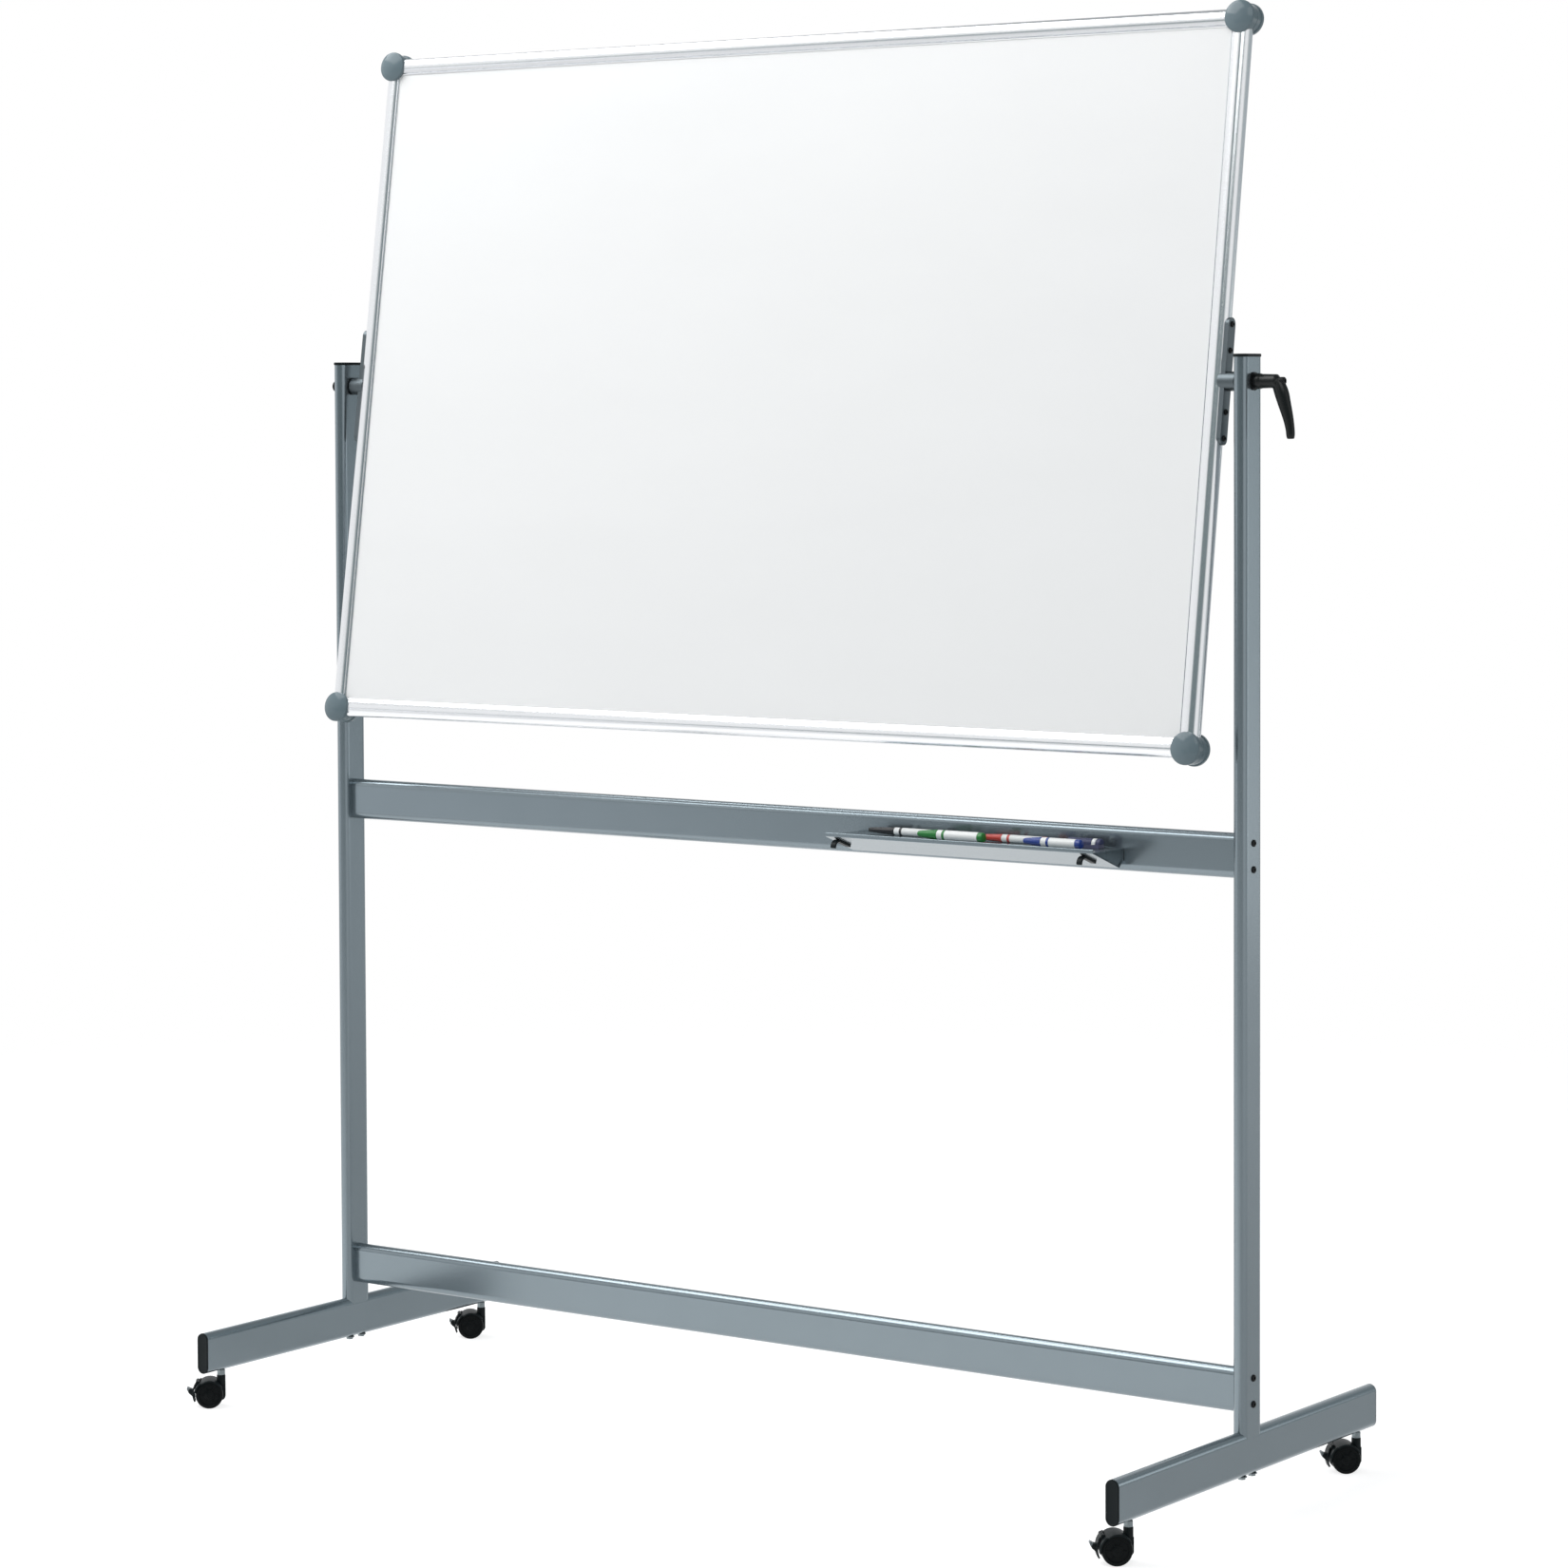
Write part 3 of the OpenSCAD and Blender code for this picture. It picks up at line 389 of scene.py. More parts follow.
def foot_caps():
    """End caps with a rounded flange and a shallow pan inside its rim."""
    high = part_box("foot_end_caps")[1]
    height = FOOT_HIGH.z - FOOT_LOW.z
    middle = (FOOT_HIGH.z + FOOT_LOW.z) / 2
    flange = high.y - FOOT_HIGH.y
    outer = oval(TUBE, height)
    bm = bmesh.new()
    for side in (-1, 1):
        for end in (-1, 1):
            place = facing((0, end, 0), (side * POST_X, end * FOOT_HIGH.y, middle))
            rings = [
                ring(outer, 0.05 * MM, place),
                ring(outer, flange - 0.8 * MM, place),
                ring(inset(outer, 0.25 * MM), flange - 0.25 * MM, place),
                ring(inset(outer, 0.8 * MM), flange, place),
                ring(inset(outer, 2.3 * MM), flange, place),
                ring(inset(outer, 2.8 * MM), flange - 0.4 * MM, place),
                ring(inset(outer, 5 * MM), flange - 0.6 * MM, place),
            ]
            loft(bm, rings)
            plug = oval(TUBE - PLUG_INSET, height - PLUG_INSET)
            rounded_block(bm, plug, -12 * MM, 0, 0.5 * MM, place)
    piece("foot_caps", bm, "stand", ["black_plastic"], ["foot_end_caps"])


def frame_screws():
    """Button-head screws of the crossbars, through the posts' outer faces."""
    low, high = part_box("crossbar_screws")
    radius = 4.75 * MM
    rows = (low.z + radius, high.z - radius)
    pitch = 35 * MM
    bm = bmesh.new()
    for side in (-1, 1):
        for z in (rows[0], rows[0] + pitch, rows[1] - pitch, rows[1]):
            place = facing((side, 0, 0), (side * POST_HIGH.x, 0, z))
            button_screw(bm, radius, high.x - POST_HIGH.x, 2.5 * MM, 50 * MM, place)
    piece("frame_screws", bm, "stand", ["black_screw"], ["crossbar_screws"])


def under_bolts():
    """Hex bolts with washers under each foot."""
    low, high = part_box("foot_bolts")
    row = high.y - 5 * MM
    bm = bmesh.new()
    for side in (-1, 1):
        for end in (-1, 1):
            place = Matrix.Translation((side * POST_X, end * row, FOOT_LOW.z))
            lathe(bm, [(0, -1.1 * MM), (7 * MM, -1.1 * MM), (7 * MM, -0.1 * MM), (0, -0.1 * MM)], place)
            rounded_block(bm, hexagon(5.5 * MM), low.z - FOOT_LOW.z, -1.15 * MM, 0.5 * MM, place)
            lathe(bm, [(0, 0), (3 * MM, 0), (3 * MM, high.z - FOOT_LOW.z), (0, high.z - FOOT_LOW.z)], place)
    piece("under_bolts", bm, "stand", ["zinc"], ["foot_bolts"])


# ---------- Casters ----------

HOUSING_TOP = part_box("front_left_caster_housing")[1].z
WEB_HALF = 6 * MM
HOOD_HALF = 20.8 * MM
SWEEP_STEP = 5


def sweep_about_axle(bm, section, start, end, place):
    """Section of (y, radius) points swept round the axle, angles in degrees from the trailing side."""
    count = max(2, math.ceil(abs(end - start) / SWEEP_STEP))
    rings = []
    for k in range(count + 1):
        angle = math.radians(start + (end - start) * k / count)
        rings.append([place @ Vector((radius * math.cos(angle), y, radius * math.sin(angle)))
                      for y, radius in section])
    loft(bm, rings)


def hood_section(half, outer, thick, lip):
    """Channel section: a rounded cover with a lip down each side."""
    corner = 2.2 * MM
    outside = arc(corner, 180, 90, 4, (-half + corner, outer - corner))
    outside += arc(corner, 90, 0, 4, (half - corner, outer - corner))
    inside_half = half - thick
    inside = [(inside_half, lip), (inside_half, outer - corner), (inside_half - 1 * MM, outer - thick)]
    mirrored = [(-y, radius) for y, radius in reversed(inside)]
    return [(-half, lip)] + outside + [(half, lip)] + inside + mirrored


def caster(name):
    """Hood with its boss and side fenders, two dished wheels and a pedal, around one caster's CAD."""
    stem = Vector(JOINTS[name + "_swivel"]["pos_m"])
    axle = Vector(JOINTS[name + "_wheel_a_spin"]["pos_m"])
    trail = Vector((axle.x - stem.x, axle.y - stem.y, 0))
    heading = math.atan2(trail.y, trail.x)
    wheel_r = axle.z
    here = Matrix.Translation((stem.x, stem.y, 0)) @ Matrix.Rotation(heading, 4, "Z")
    at_axle = here @ Matrix.Translation((trail.length, 0, wheel_r))
    hood_r = wheel_r + 1.5 * MM

    bm = bmesh.new()
    sweep_about_axle(bm, hood_section(HOOD_HALF, hood_r, 1 * MM, wheel_r - 0.8 * MM), 52, 150, at_axle)
    fender_in = wheel_r + 0.5 * MM
    fender_out = wheel_r + 2.8 * MM
    for low_y, high_y in ((-20.6 * MM, -10.9 * MM), (10.9 * MM, 20.6 * MM)):
        fender = [(low_y, fender_in), (high_y, fender_in), (high_y, fender_out), (low_y, fender_out)]
        sweep_about_axle(bm, fender, -8, 54, at_axle)
    web = arc(wheel_r + 1.2 * MM, 55, 140, 14)
    web += [(-23.4 * MM, 14 * MM), (-23.4 * MM, -3 * MM)] + arc(7 * MM, 190, 262, 6, (-16.5 * MM, -3.5 * MM))
    web += arc(9.5 * MM, 250, 360, 8)
    sideways = at_axle @ Matrix.Rotation(math.pi / 2, 4, "X")
    rounded_block(bm, web, -WEB_HALF, WEB_HALF, 0.6 * MM, sideways)
    boss = [
        (0, 17 * MM), (4.5 * MM, 17 * MM), (6 * MM, 18.5 * MM), (6.5 * MM, 21 * MM),
        (6.5 * MM, HOUSING_TOP - 1 * MM), (6.2 * MM, HOUSING_TOP - 0.3 * MM),
        (5.6 * MM, HOUSING_TOP), (0, HOUSING_TOP),
    ]
    lathe(bm, boss, here)
    pin = Vector(JOINTS[name + "_brake_press"]["pos_m"])
    pin_offset = at_axle.inverted() @ pin
    for side in (-1, 1):
        ear = at_axle @ Matrix.Translation((pin_offset.x, side * 8.3 * MM, pin_offset.z))
        rounded_block(bm, circle(3 * MM, 24), -2.2 * MM, 2.2 * MM, 0.5 * MM,
                      ear @ Matrix.Rotation(math.pi / 2, 4, "X"))
    piece(name + "_hood", bm, name, ["black_plastic"], [name + "_housing"])

    for letter, side in (("a", -1), ("b", 1)):
        bm = bmesh.new()
        out = 12.5 * MM
        profile = [
            (0, 0), (wheel_r - 2.2 * MM, 0), (wheel_r - 0.7 * MM, 0.5 * MM), (wheel_r, 2 * MM),
            (wheel_r, out / 2 - 0.5 * MM), (wheel_r - 0.5 * MM, out / 2), (wheel_r, out / 2 + 0.5 * MM),
            (wheel_r, out - 2 * MM), (wheel_r - 0.6 * MM, out - 0.6 * MM), (wheel_r - 2.2 * MM, out),
            (wheel_r - 4.3 * MM, out), (wheel_r - 5 * MM, out - 0.6 * MM),
            (wheel_r - 5.4 * MM, out - 1.7 * MM),
            (8 * MM, out - 2.1 * MM), (7.2 * MM, out - 1.7 * MM), (6.8 * MM, out - 0.7 * MM),
            (6.2 * MM, out - 0.3 * MM), (3.2 * MM, out), (2.6 * MM, out - 0.5 * MM), (0, out - 0.5 * MM),
        ]
        turned = at_axle @ Matrix.Translation((0, side * 6.7 * MM, 0))
        turned = turned @ Matrix.Rotation(-side * math.pi / 2, 4, "X")
        lathe(bm, profile, turned, count=72)
        for k in range(6):
            spoke = turned @ Matrix.Rotation(math.tau * k / 6, 4, "Z")
            rib_in, rib_out, rib_half = 6.8 * MM, 14.9 * MM, 0.7 * MM
            outline = [(rib_in, -rib_half), (rib_out, -rib_half), (rib_out, rib_half), (rib_in, rib_half)]
            rounded_block(bm, outline, out - 3 * MM, out - 0.9 * MM, 0.25 * MM, spoke, steps=2)
        wheel = name + "_wheel_" + letter
        piece(wheel + "_shape", bm, wheel, ["wheel"], [wheel])

    bm = bmesh.new()
    knuckle = at_axle @ Matrix.Translation((pin_offset.x, 0, pin_offset.z))
    knuckle = knuckle @ Matrix.Rotation(math.pi / 2, 4, "X")
    rounded_block(bm, circle(2.9 * MM, 24), -5.7 * MM, 5.7 * MM, 0.4 * MM, knuckle)
    inner = wheel_r + 3.2 * MM
    pad = [(-8.5 * MM, inner), (8.5 * MM, inner), (8.5 * MM, inner + 1.6 * MM), (7.6 * MM, inner + 2.3 * MM),
           (-7.6 * MM, inner + 2.3 * MM), (-8.5 * MM, inner + 1.6 * MM)]
    neck = [(y * 0.68, radius) for y, radius in pad]
    sweep_about_axle(bm, neck, 24, 44, at_axle)
    sweep_about_axle(bm, pad, -28, 26, at_axle)
    lip = [(24, -5), (30.5, 1), (32, 4), (29.2, 7.5), (28, 7), (24, 6)]
    tip = [(31.7, 3.6), (33.5, 7), (32.5, 9.5), (28.8, 7.6)]
    for outline, half, slot in ((lip, 5.8 * MM, 0), (tip, 6 * MM, 1)):
        rounded_block(bm, [(x * MM, z * MM) for x, z in outline], -half, half, 0.4 * MM, sideways, slot, 2)
    brake = name + "_brake"
    piece(brake + "_pedal", bm, brake, ["black_plastic", "pedal_tip"], [brake])


# ---------- Board ----------

RAIL_LOW, RAIL_HIGH = local_box("right_rail", BOARD)
TOP_HIGH = local_box("top_rail", BOARD)[1]
SHEET_HIGH = local_box("writing_sheets", BOARD)[1]
HALF_W = RAIL_HIGH.x
HALF_H = TOP_HIGH.z
RAIL_R = RAIL_HIGH.y
RAIL_DEPTH = RAIL_HIGH.x - RAIL_LOW.x


def rail_outline():
    """X inwards from the outer edge: half-round back, falling flank, fine groove, thin lip and slot."""
    lip_half = 9 * MM
    slot_half = SHEET_HIGH.y + 0.06 * MM
    fall = RAIL_R - lip_half
    run = RAIL_DEPTH - RAIL_R
    flank_r = (run * run + fall * fall) / (2 * fall)
    reach = math.degrees(math.asin(run / flank_r))
    groove_from = 90 - reach * 0.80
    flank = arc(flank_r, 90 - reach, groove_from - 3, 2, (RAIL_R, RAIL_R - flank_r))
    groove = [
        (flank[-1][0] - 0.25 * MM, flank[-1][1] - 1.1 * MM),
        (flank[-1][0] - 1.15 * MM, flank[-1][1] - 0.9 * MM),
    ]
    upper = arc(flank_r, groove_from + 2, 90, 8, (RAIL_R, RAIL_R - flank_r))
    back = arc(RAIL_R, 90, 270, 32, (RAIL_R, 0))
    front = flank + groove + upper
    lower = [(x, -y) for x, y in reversed(front)]
    slot_x = RAIL_DEPTH - 10.8 * MM
    slot = [(RAIL_DEPTH, -slot_half), (slot_x, -slot_half), (slot_x, slot_half), (RAIL_DEPTH, slot_half)]
    return front + back[1:-1] + lower + slot


def rails():
    outline = rail_outline()
    side_half = RAIL_HIGH.z
    long_half = TOP_HIGH.x
    turns = {
        "right": (Matrix.Translation((HALF_W, 0, 0)) @ Matrix.Rotation(math.pi, 4, "Z"), side_half),
        "left": (Matrix.Translation((-HALF_W, 0, 0)), side_half),
        "top": (Matrix.Translation((0, 0, HALF_H)) @ Matrix.Rotation(math.pi / 2, 4, "Y"), long_half),
        "bottom": (Matrix.Translation((0, 0, -HALF_H)) @ Matrix.Rotation(-math.pi / 2, 4, "Y"), long_half),
    }
    for side, (turn, half) in turns.items():
        bm = bmesh.new()
        loft(bm, [ring(outline, -half, BOARD @ turn), ring(outline, half, BOARD @ turn)])
        piece(side + "_rail_profile", bm, "board", ["rail"], [side + "_rail"])


def corner_caps():
    """Round glossy caps at the corners: domed front and rear halves with a recessed band between."""
    cap_high = local_box("corner_caps", BOARD)[1]
    radius = cap_high.x - (HALF_W - RAIL_R)
    rim = 15 * MM
    dome = cap_high.y - rim
    band = 1.5 * MM
    dome_r = (radius * radius + dome * dome) / (2 * dome)
    profile = [(0, 0.25 * MM), (radius - band - 0.3 * MM, 0.25 * MM), (radius - band, 0.6 * MM),
               (radius - band, rim - 5.4 * MM), (radius - band + 0.3 * MM, rim - 5 * MM),
               (radius - 0.5 * MM, rim - 5 * MM), (radius, rim - 4.5 * MM), (radius, rim - 1.2 * MM)]
    steps = 14
    edge = math.asin((radius - 0.6 * MM) / dome_r)
    for k in range(steps, 0, -1):
        angle = edge * k / steps
        profile.append((dome_r * math.sin(angle), rim + dome - dome_r + dome_r * math.cos(angle)))
    profile.append((0, rim + dome))
    bm = bmesh.new()
    for side in (-1, 1):
        for end in (-1, 1):
            for face in (-1, 1):
                middle = (side * (HALF_W - RAIL_R), 0, end * (HALF_H - RAIL_R))
                lathe(bm, profile, BOARD @ facing((0, face, 0), middle), count=72)
    piece("corner_discs", bm, "board", ["corner_cap"], ["corner_caps"])


def plate_screws():
    low, high = local_box("pivot_plate_screws", BOARD)
    radius = high.y
    face_x = high.x - 2.2 * MM
    inner_row = 41 * MM
    bm = bmesh.new()
    for side in (-1, 1):
        for z in (high.z - radius, inner_row, -inner_row, low.z + radius):
            place = BOARD @ facing((side, 0, 0), (side * face_x, 0, z))
            button_screw(bm, radius, high.x - face_x, 2 * MM, 13 * MM, place)
    piece("plate_screws", bm, "board", ["black_screw"], ["pivot_plate_screws"])


# ---------- Lever ----------

def curve_through(points, steps=8):
    """Smooth curve through (x, z, radius) points."""
    padded = [points[0]] + points + [points[-1]]
    path = []
    for a, b, c, d in zip(padded, padded[1:], padded[2:], padded[3:]):
        for k in range(steps):
            t = k / steps
            path.append(tuple(
                0.5 * (2 * q + (r - p) * t + (2 * p - 5 * q + 4 * r - s) * t * t
                       + (3 * q - p - 3 * r + s) * t ** 3)
                for p, q, r, s in zip(a, b, c, d)
            ))
    path.append(points[-1])
    return path


def lever():
    """Cast handle: hub and curved arm grown into one skin, then smoothed."""
    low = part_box("lever_handle")[0]
    face = POST_HIGH.x
    hub_r = 9.4 * MM
    start = low.x - face
    end = 36 * MM
    tip_z = low.z - PIVOT.z
    bm = bmesh.new()
    across = facing((1, 0, 0), (face, 0, PIVOT.z))
    hub = [(0, start), (hub_r + 0.6 * MM, start), (hub_r + 1.2 * MM, start + 0.8 * MM),
           (hub_r + 1 * MM, start + 5 * MM), (hub_r + 0.2 * MM, start + 8 * MM),
           (hub_r * 0.985, end - 6 * MM),
           (hub_r * 0.97, end - 1 * MM), (hub_r - 1 * MM, end), (0, end)]
    lathe(bm, hub, across, count=64)
    arm = [(28, 3, 6), (36, -3, 8.8), (41.5, -15, 10), (46, -30, 9),
           (51.3, -48, 7.4), (54.2, -62, 6.4), (55, -71, 6)]
    arm = [(x * MM, z * MM, radius * MM) for x, z, radius in arm] + [(55.2 * MM, tip_z, 4.8 * MM)]
    path = curve_through(arm)
    rings = []
    for k, (x, z, radius) in enumerate(path):
        before = path[max(k - 1, 0)]
        after = path[min(k + 1, len(path) - 1)]
        along = Vector((after[0] - before[0], 0, after[1] - before[1])).normalized()
        side = Vector((0, 1, 0))
        out = side.cross(along)
        centre = Vector((face + x, 0, PIVOT.z + z))
        rings.append([centre + out * radius * math.cos(math.tau * i / 28)
                      + side * radius * 0.8 * math.sin(math.tau * i / 28) for i in range(28)])
    loft(bm, rings)
    bmesh.ops.recalc_face_normals(bm, faces=bm.faces)
    mesh = bpy.data.meshes.new("lever_rough")
    bm.to_mesh(mesh)
    bm.free()
    rough = bpy.data.objects.new("lever_rough", mesh)
    bpy.context.scene.collection.objects.link(rough)
    grow = rough.modifiers.new("grow", "REMESH")
    grow.mode = "VOXEL"
    grow.voxel_size = 0.7 * MM
    soften = rough.modifiers.new("soften", "SMOOTH")
    soften.iterations = 10
    soften.factor = 0.5
    grown = bpy.data.meshes.new_from_object(rough.evaluated_get(bpy.context.evaluated_depsgraph_get()))
    bpy.data.objects.remove(rough)
    bm = bmesh.new()
    bm.from_mesh(grown)
    piece("lever_grip", bm, "lever_handle", ["lever_black"], ["lever_handle"])


def lever_button():
    low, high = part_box("lever_screw")
    radius = high.y
    out = high.x - POST_HIGH.x - 3 * MM
    bm = bmesh.new()
    across = facing((1, 0, 0), (POST_HIGH.x, 0, PIVOT.z))
    shank_from = low.x - POST_HIGH.x
    lathe(bm, [(0, shank_from), (2.4 * MM, shank_from), (2.4 * MM, 35 * MM), (0, 35 * MM)], across)
    rings = [
        ring(circle(radius - 0.4 * MM), 35 * MM, across), ring(circle(radius), 35.4 * MM, across),
        ring(circle(radius), out - 2.2 * MM, across), ring(circle(radius * 0.94), out - 1.1 * MM, across),
        ring(circle(radius * 0.8), out - 0.3 * MM, across), ring(circle(radius * 0.66), out, across),
        ring(hexagon(radius * 0.5), out, across), ring(hexagon(radius * 0.48), out - 3 * MM, across),
    ]
    loft(bm, rings)
    piece("lever_button", bm, "lever_insert", ["black_screw"], ["lever_screw"])


# ---------- Tray and what lies in it ----------

def marker(name, roll):
    """Capped marker lying along X: ribbed cap, white barrel with a coloured band, and an end plug."""
    low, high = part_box(name)
    radius = (high.z - low.z) / 2
    length = high.x - low.x
    cap = {"black_marker": 44, "green_marker": 33, "red_marker": 40, "blue_marker": 29}[name] * MM
    place = facing((1, 0, 0), (low.x, (low.y + high.y) / 2, (low.z + high.z) / 2))
    place = place @ Matrix.Rotation(roll, 4, "Z")
    bm = bmesh.new()
    count = 60

    def ribbed(r, height, depth):
        return ring([(r * (1 - depth * (k % 5 == 0)) * math.cos(math.tau * k / count),
                      r * (1 - depth * (k % 5 == 0)) * math.sin(math.tau * k / count)) for k in range(count)],
                    height, place)
    loft(bm, [
        ribbed(radius * 0.36, 0, 0), ribbed(radius * 0.48, 0.5 * MM, 0), ribbed(radius * 0.54, 1.4 * MM, 0),
        ribbed(radius * 0.62, 4 * MM, 0.04), ribbed(radius * 0.82, cap * 0.5, 0.04),
        ribbed(radius * 0.93, cap - 5 * MM, 0.03), ribbed(radius * 0.95, cap - 3.4 * MM, 0),
        ribbed(radius, cap - 2.6 * MM, 0), ribbed(radius, cap - 0.4 * MM, 0), ribbed(radius * 0.96, cap, 0),
    ])
    barrel = [(0, cap + 0.1 * MM), (radius * 0.9, cap + 0.1 * MM), (radius * 0.97, cap + 0.8 * MM),
              (radius * 0.97, length - 9 * MM), (radius * 0.93, length - 8.6 * MM), (0, length - 8.6 * MM)]
    lathe(bm, barrel, place, slot=1)
    plug = [(0, length - 8.5 * MM), (radius * 0.95, length - 8.5 * MM), (radius * 0.95, length - 1.5 * MM),
            (radius * 0.8, length - 0.2 * MM), (radius * 0.55, length), (0, length)]
    lathe(bm, plug, place)
    band = [(radius * 0.5, cap + 9 * MM), (radius * 0.985, cap + 9 * MM), (radius * 0.985, cap + 13 * MM),
            (radius * 0.5, cap + 13 * MM)]
    lathe(bm, [(0, band[0][1])] + band + [(0, band[-1][1])], place)
    colour = name.split("_")[0] + "_pen"
    piece(name + "_shape", bm, name, [colour, "pen_barrel"], [name])


def eraser():
    """Hand eraser: rounded grip over a felt pad, with a pale end band."""
    low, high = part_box("board_eraser")
    half = (high.y - low.y) / 2
    length = high.x - low.x
    bm = bmesh.new()
    place = facing((1, 0, 0), (low.x, (low.y + high.y) / 2, low.z))
    grip = [(-half, 5 * MM)] + [(half * 0.98, 5 * MM)] + arc(half * 0.98, 8, 172, 18, (0, half))
    rounded_block(bm, grip, 0, length * 0.74, 1.2 * MM, place)
    rounded_block(bm, grip, length * 0.745, length * 0.86, 0.8 * MM, place, slot=2)
    rounded_block(bm, grip, length * 0.865, length, 1.2 * MM, place)
    pad = [(-half, 0.1 * MM), (half, 0.1 * MM), (half, 4.9 * MM), (-half, 4.9 * MM)]
    rounded_block(bm, pad, 0.5 * MM, length - 0.5 * MM, 0.6 * MM, place, slot=1)
    piece("eraser_shape", bm, "board_eraser", ["eraser_grip", "eraser", "pen_barrel"], ["board_eraser"])


def tray_ends():
    """A thin plug just inside each open end of the tray's channel, its edges a little clear of the walls."""
    low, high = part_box("pen_tray")
    lip_y = high.y - 68.35 * MM
    fold_y = high.y - 10.55 * MM
    back_y = high.y - 1.75 * MM
    top_z = low.z + 24.25 * MM
    outline = [(lip_y, top_z), (fold_y, low.z + 2.65 * MM), (back_y, low.z + 9.55 * MM), (back_y, top_z)]
    thick = 2 * MM
    recess = 1.5 * MM
    along_x = Matrix(((0, 0, 1, 0), (1, 0, 0, 0), (0, 1, 0, 0), (0, 0, 0, 1)))
    bm = bmesh.new()
    for start in (low.x + recess, high.x - recess - thick):
        rounded_block(bm, outline, start, start + thick, 0.3 * MM, along_x)
    piece("tray_plugs", bm, "pen_tray", ["frame_paint"])


def hooks():
    """Rounded black hooks under the tray's sloping front."""
    bm = bmesh.new()
    bm.from_mesh(NODES["tray_hooks"].data)
    bmesh.ops.remove_doubles(bm, verts=bm.verts, dist=0.01 * MM)
    bmesh.ops.dissolve_limit(bm, angle_limit=math.radians(1), verts=bm.verts, edges=bm.edges)
    paired = [edge for edge in bm.edges if len(edge.link_faces) == 2]
    sharp = [edge for edge in paired if edge.calc_face_angle() > math.radians(40)]
    bmesh.ops.bevel(bm, geom=sharp, offset=0.6 * MM, segments=3, profile=0.5, affect="EDGES",
                    clamp_overlap=True)
    piece("hook_shapes", bm, "pen_tray", ["black_plastic"], ["tray_hooks"])


post_caps()
foot_caps()
frame_screws()
under_bolts()
rails()
corner_caps()
plate_screws()
lever()
lever_button()
hooks()
for end_name in ("front_left", "front_right", "rear_left", "rear_right"):
    caster(end_name + "_caster")
for marker_name, turned_by in (("black", 0.6), ("green", 1.9), ("red", 0.2), ("blue", 1.2)):
    marker(marker_name + "_marker", turned_by)
eraser()
tray_ends()


# ---------- Stage, light and camera ----------

def stage_floor():
    """Pale floor that fades into the white surroundings away from the object."""
    bm = bmesh.new()
    bmesh.ops.create_circle(bm, cap_ends=True, segments=96, radius=14)
    mesh = bpy.data.meshes.new("studio_floor")
    bm.to_mesh(mesh)
    bm.free()
    floor = bpy.data.objects.new("studio_floor", mesh)
    bpy.context.scene.collection.objects.link(floor)
    n = Nodes("studio_floor")
    n.set(Base_Color=(0.35, 0.35, 0.35, 1), Roughness=0.8, Emission_Color=(1, 1, 1, 1))
    # Dimmer where it is seen mirrored in sides that face right
    incoming = n.add("ShaderNodeSeparateXYZ")
    n.link(n.add("ShaderNodeNewGeometry").outputs["Incoming"], incoming.inputs[0])
    from_right = n.add("ShaderNodeMapRange")
    from_right.inputs["From Min"].default_value = -0.5
    from_right.inputs["From Max"].default_value = 0.1
    n.link(incoming.outputs["X"], from_right.inputs["Value"])
    seen = n.add("ShaderNodeMath", operation="MAXIMUM")
    n.link(n.add("ShaderNodeLightPath").outputs["Is Camera Ray"], seen.inputs[0])
    n.link(from_right.outputs["Result"], seen.inputs[1])
    glow = n.add("ShaderNodeMapRange")
    glow.inputs["To Min"].default_value = 0.36
    glow.inputs["To Max"].default_value = 0.78
    n.link(seen.outputs[0], glow.inputs["Value"])
    n.link(glow.outputs["Result"], n.shader.inputs["Emission Strength"])
    output = n.tree.nodes["Material Output"]
    where = n.add("ShaderNodeTexCoord")
    distance = n.add("ShaderNodeVectorMath", operation="LENGTH")
    n.link(where.outputs["Object"], distance.inputs[0])
    fade = n.add("ShaderNodeMapRange")
    fade.interpolation_type = "SMOOTHSTEP"
    fade.inputs["From Min"].default_value = 1.2
    fade.inputs["From Max"].default_value = 4.5
    n.link(distance.outputs["Value"], fade.inputs["Value"])
    clear = n.add("ShaderNodeBsdfTransparent")
    blend = n.add("ShaderNodeMixShader")
    n.link(fade.outputs["Result"], blend.inputs[0])
    n.link(n.shader.outputs[0], blend.inputs[1])
    n.link(clear.outputs[0], blend.inputs[2])
    n.link(blend.outputs[0], output.inputs[0])
    mesh.materials.append(n.material)


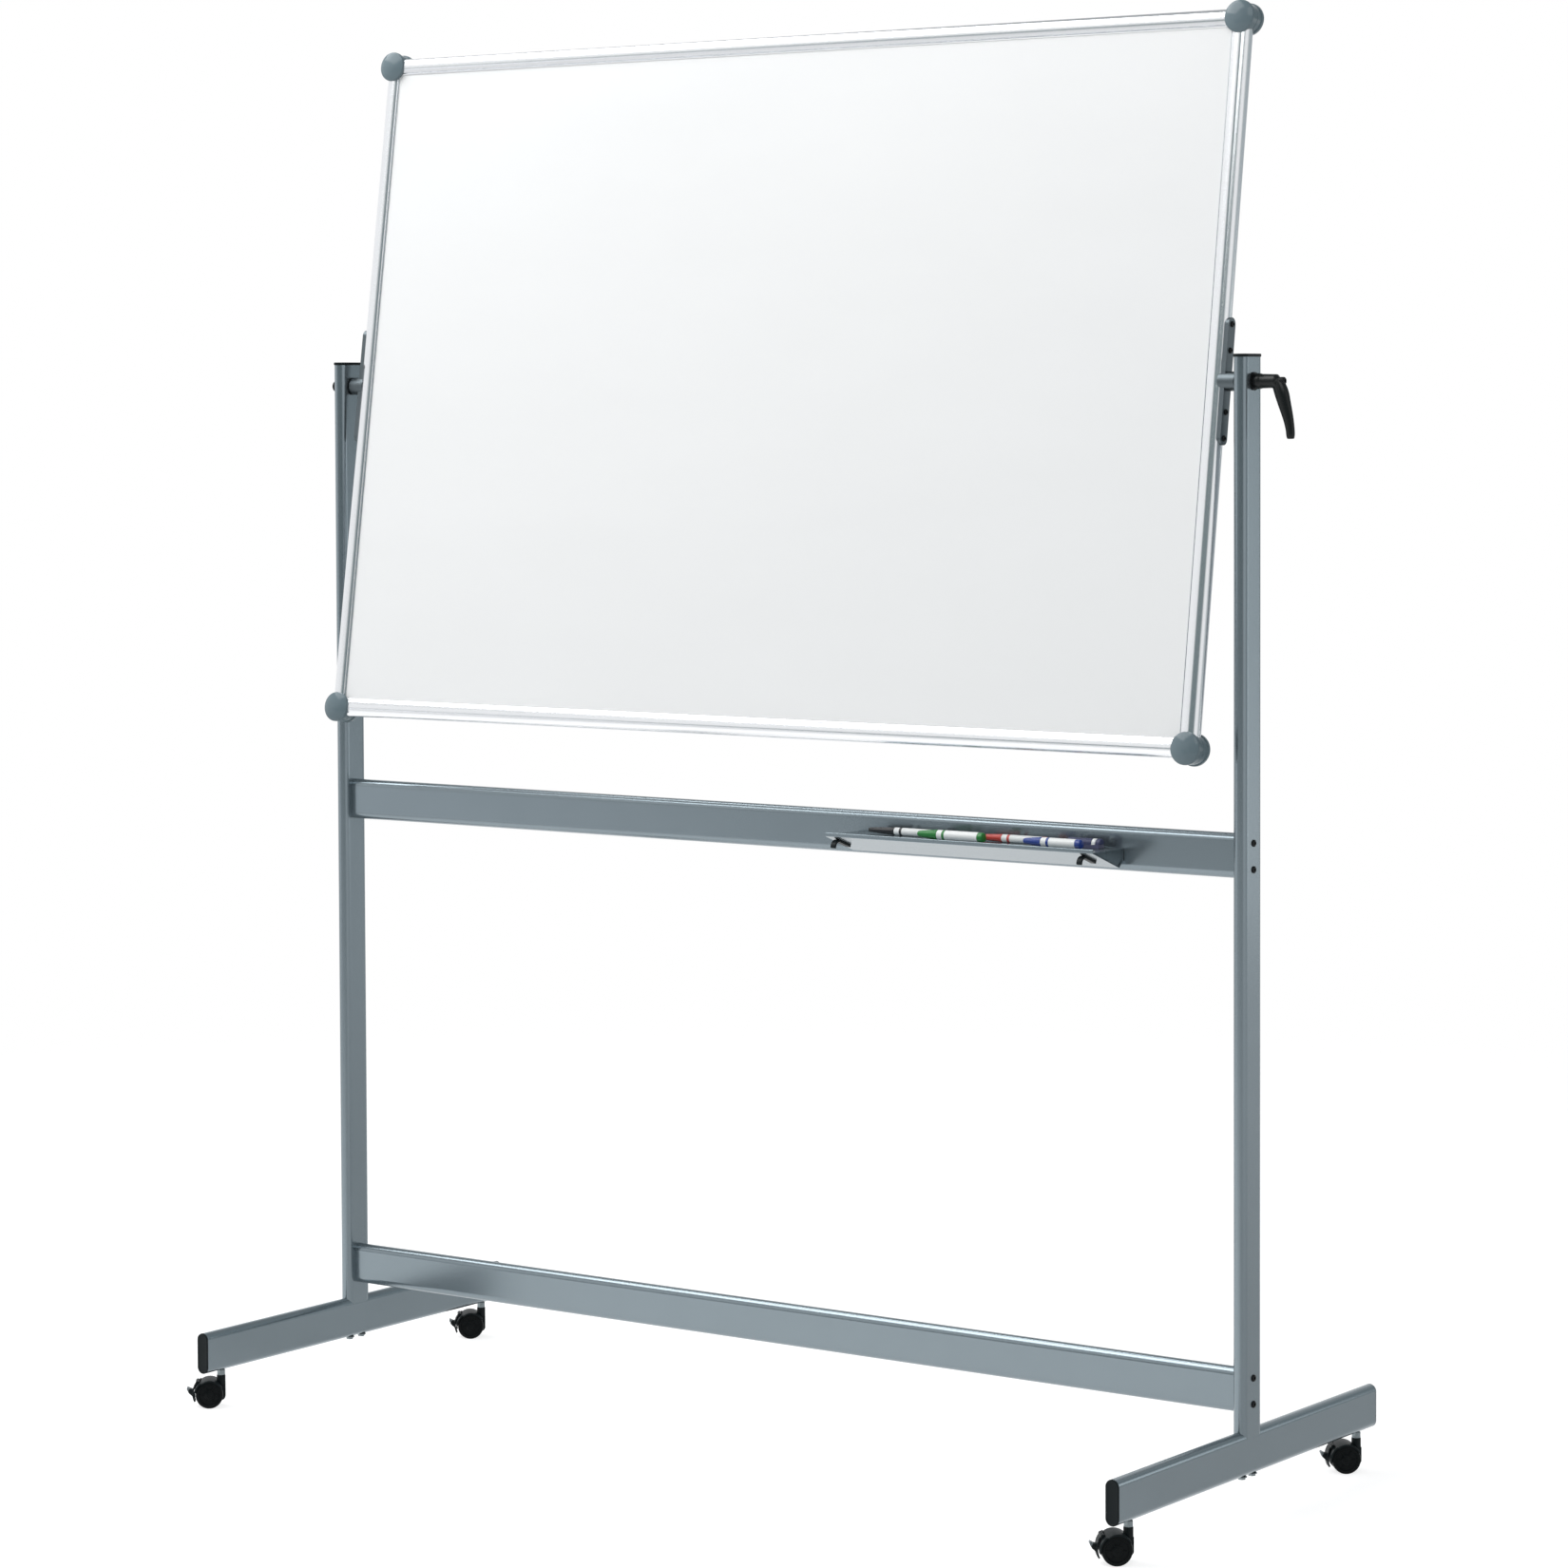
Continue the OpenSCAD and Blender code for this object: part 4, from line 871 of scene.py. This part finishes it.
def surroundings():
    """White to the camera. Light and reflections see pale walls and floor, a grey ceiling and back right,
    a dark camera side and a bright window low on the left."""
    world = bpy.data.worlds.new("studio")
    world.use_nodes = True
    bpy.context.scene.world = world
    tree = world.node_tree
    where = tree.nodes.new("ShaderNodeTexCoord").outputs["Generated"]

    def toward(direction):
        dot = tree.nodes.new("ShaderNodeVectorMath")
        dot.operation = "DOT_PRODUCT"
        dot.inputs[1].default_value = direction
        tree.links.new(where, dot.inputs[0])
        return dot.outputs["Value"]

    def rise(value, low, high):
        """0 below low, 1 above high."""
        node = tree.nodes.new("ShaderNodeMapRange")
        node.interpolation_type = "SMOOTHSTEP"
        node.inputs["From Min"].default_value = low
        node.inputs["From Max"].default_value = high
        tree.links.new(value, node.inputs["Value"])
        return node.outputs["Result"]

    def times(first, second):
        node = tree.nodes.new("ShaderNodeMath")
        node.operation = "MULTIPLY"
        tree.links.new(first, node.inputs[0])
        tree.links.new(second, node.inputs[1])
        return node.outputs[0]

    def over(base, factor, colour):
        node = tree.nodes.new("ShaderNodeMix")
        node.data_type = "RGBA"
        tree.links.new(factor, node.inputs[0])
        if isinstance(base, tuple):
            node.inputs[6].default_value = base
        else:
            tree.links.new(base, node.inputs[6])
        node.inputs[7].default_value = colour
        return node.outputs[2]

    up, down = (0, 0, 1), (0, 0, -1)
    wall, ceiling, floor = (0.93, 0.94, 0.95, 1), (0.30, 0.32, 0.33, 1), (0.80, 0.81, 0.82, 1)
    dark, grey, bright = (0.08, 0.13, 0.14, 1), (0.36, 0.41, 0.43, 1), (1.9, 1.95, 2.05, 1)
    back_right = rise(toward((0.59, 0.81, 0)), 0.60, 0.90)
    camera_side = rise(toward((0.38, -0.92, 0.05)), 0.72, 0.90)
    low_front = times(rise(toward((-0.42, -0.907, 0)), 0.935, 0.99), rise(toward(down), -0.12, -0.06))
    window = times(rise(toward((-0.69, -0.72, 0.02)), 0.972, 0.996), rise(toward(down), 0.02, 0.07))
    colour = over(wall, rise(toward(up), 0.40, 0.65), ceiling)
    for factor, tone in ((back_right, grey), (camera_side, dark), (low_front, dark), (window, bright)):
        colour = over(colour, factor, tone)
    colour = over(colour, rise(toward(down), 0.06, 0.11), floor)
    colour = over(colour, tree.nodes.new("ShaderNodeLightPath").outputs["Is Camera Ray"], (1, 1, 1, 1))
    tree.links.new(colour, tree.nodes["Background"].inputs[0])


def area_light(name, place, aim, size, watts):
    data = bpy.data.lights.new(name, "AREA")
    data.shape = "RECTANGLE"
    data.size, data.size_y = size
    data.energy = watts
    light = bpy.data.objects.new(name, data)
    light.location = place
    light.rotation_euler = (Vector(aim) - Vector(place)).to_track_quat("-Z", "Y").to_euler()
    bpy.context.scene.collection.objects.link(light)


def camera():
    """Eye-level view from the right front, with the lens shifted a little."""
    eye = (3.7751, -5.2048, 1.4917)
    yaw = math.radians(36.089)
    pitch = math.radians(2.477)
    roll = math.radians(-0.249)
    data = bpy.data.cameras.new("camera")
    data.sensor_width = 36
    data.lens = 104.22
    data.shift_x = 0.0182
    data.shift_y = -0.1243
    data.clip_end = 200
    view = bpy.data.objects.new("camera", data)
    forward = Vector((-math.sin(yaw) * math.cos(pitch), math.cos(yaw) * math.cos(pitch), -math.sin(pitch)))
    right = Vector((math.cos(yaw), math.sin(yaw), 0))
    up = right.cross(forward)
    right, up = right * math.cos(roll) + up * math.sin(roll), up * math.cos(roll) - right * math.sin(roll)
    turn = Matrix((right, up, -forward)).transposed().to_4x4()
    view.matrix_world = Matrix.Translation(eye) @ turn
    bpy.context.scene.collection.objects.link(view)
    bpy.context.scene.camera = view

stage_floor()
surroundings()
area_light("softbox", (-2.2, -1.3, 4.3), (-1.2, -0.6, 0), (4.4, 3.2), 200)
area_light("fill", (2.4, -3.0, 4.2), (0.4, 0, 1.1), (2.4, 2.4), 46)
area_light("side", (3.4, 3.3, 1.0), (0.8, 0, 1.0), (1.1, 1.4), 6.5)
camera()
bpy.context.scene.view_settings.view_transform = "Standard"
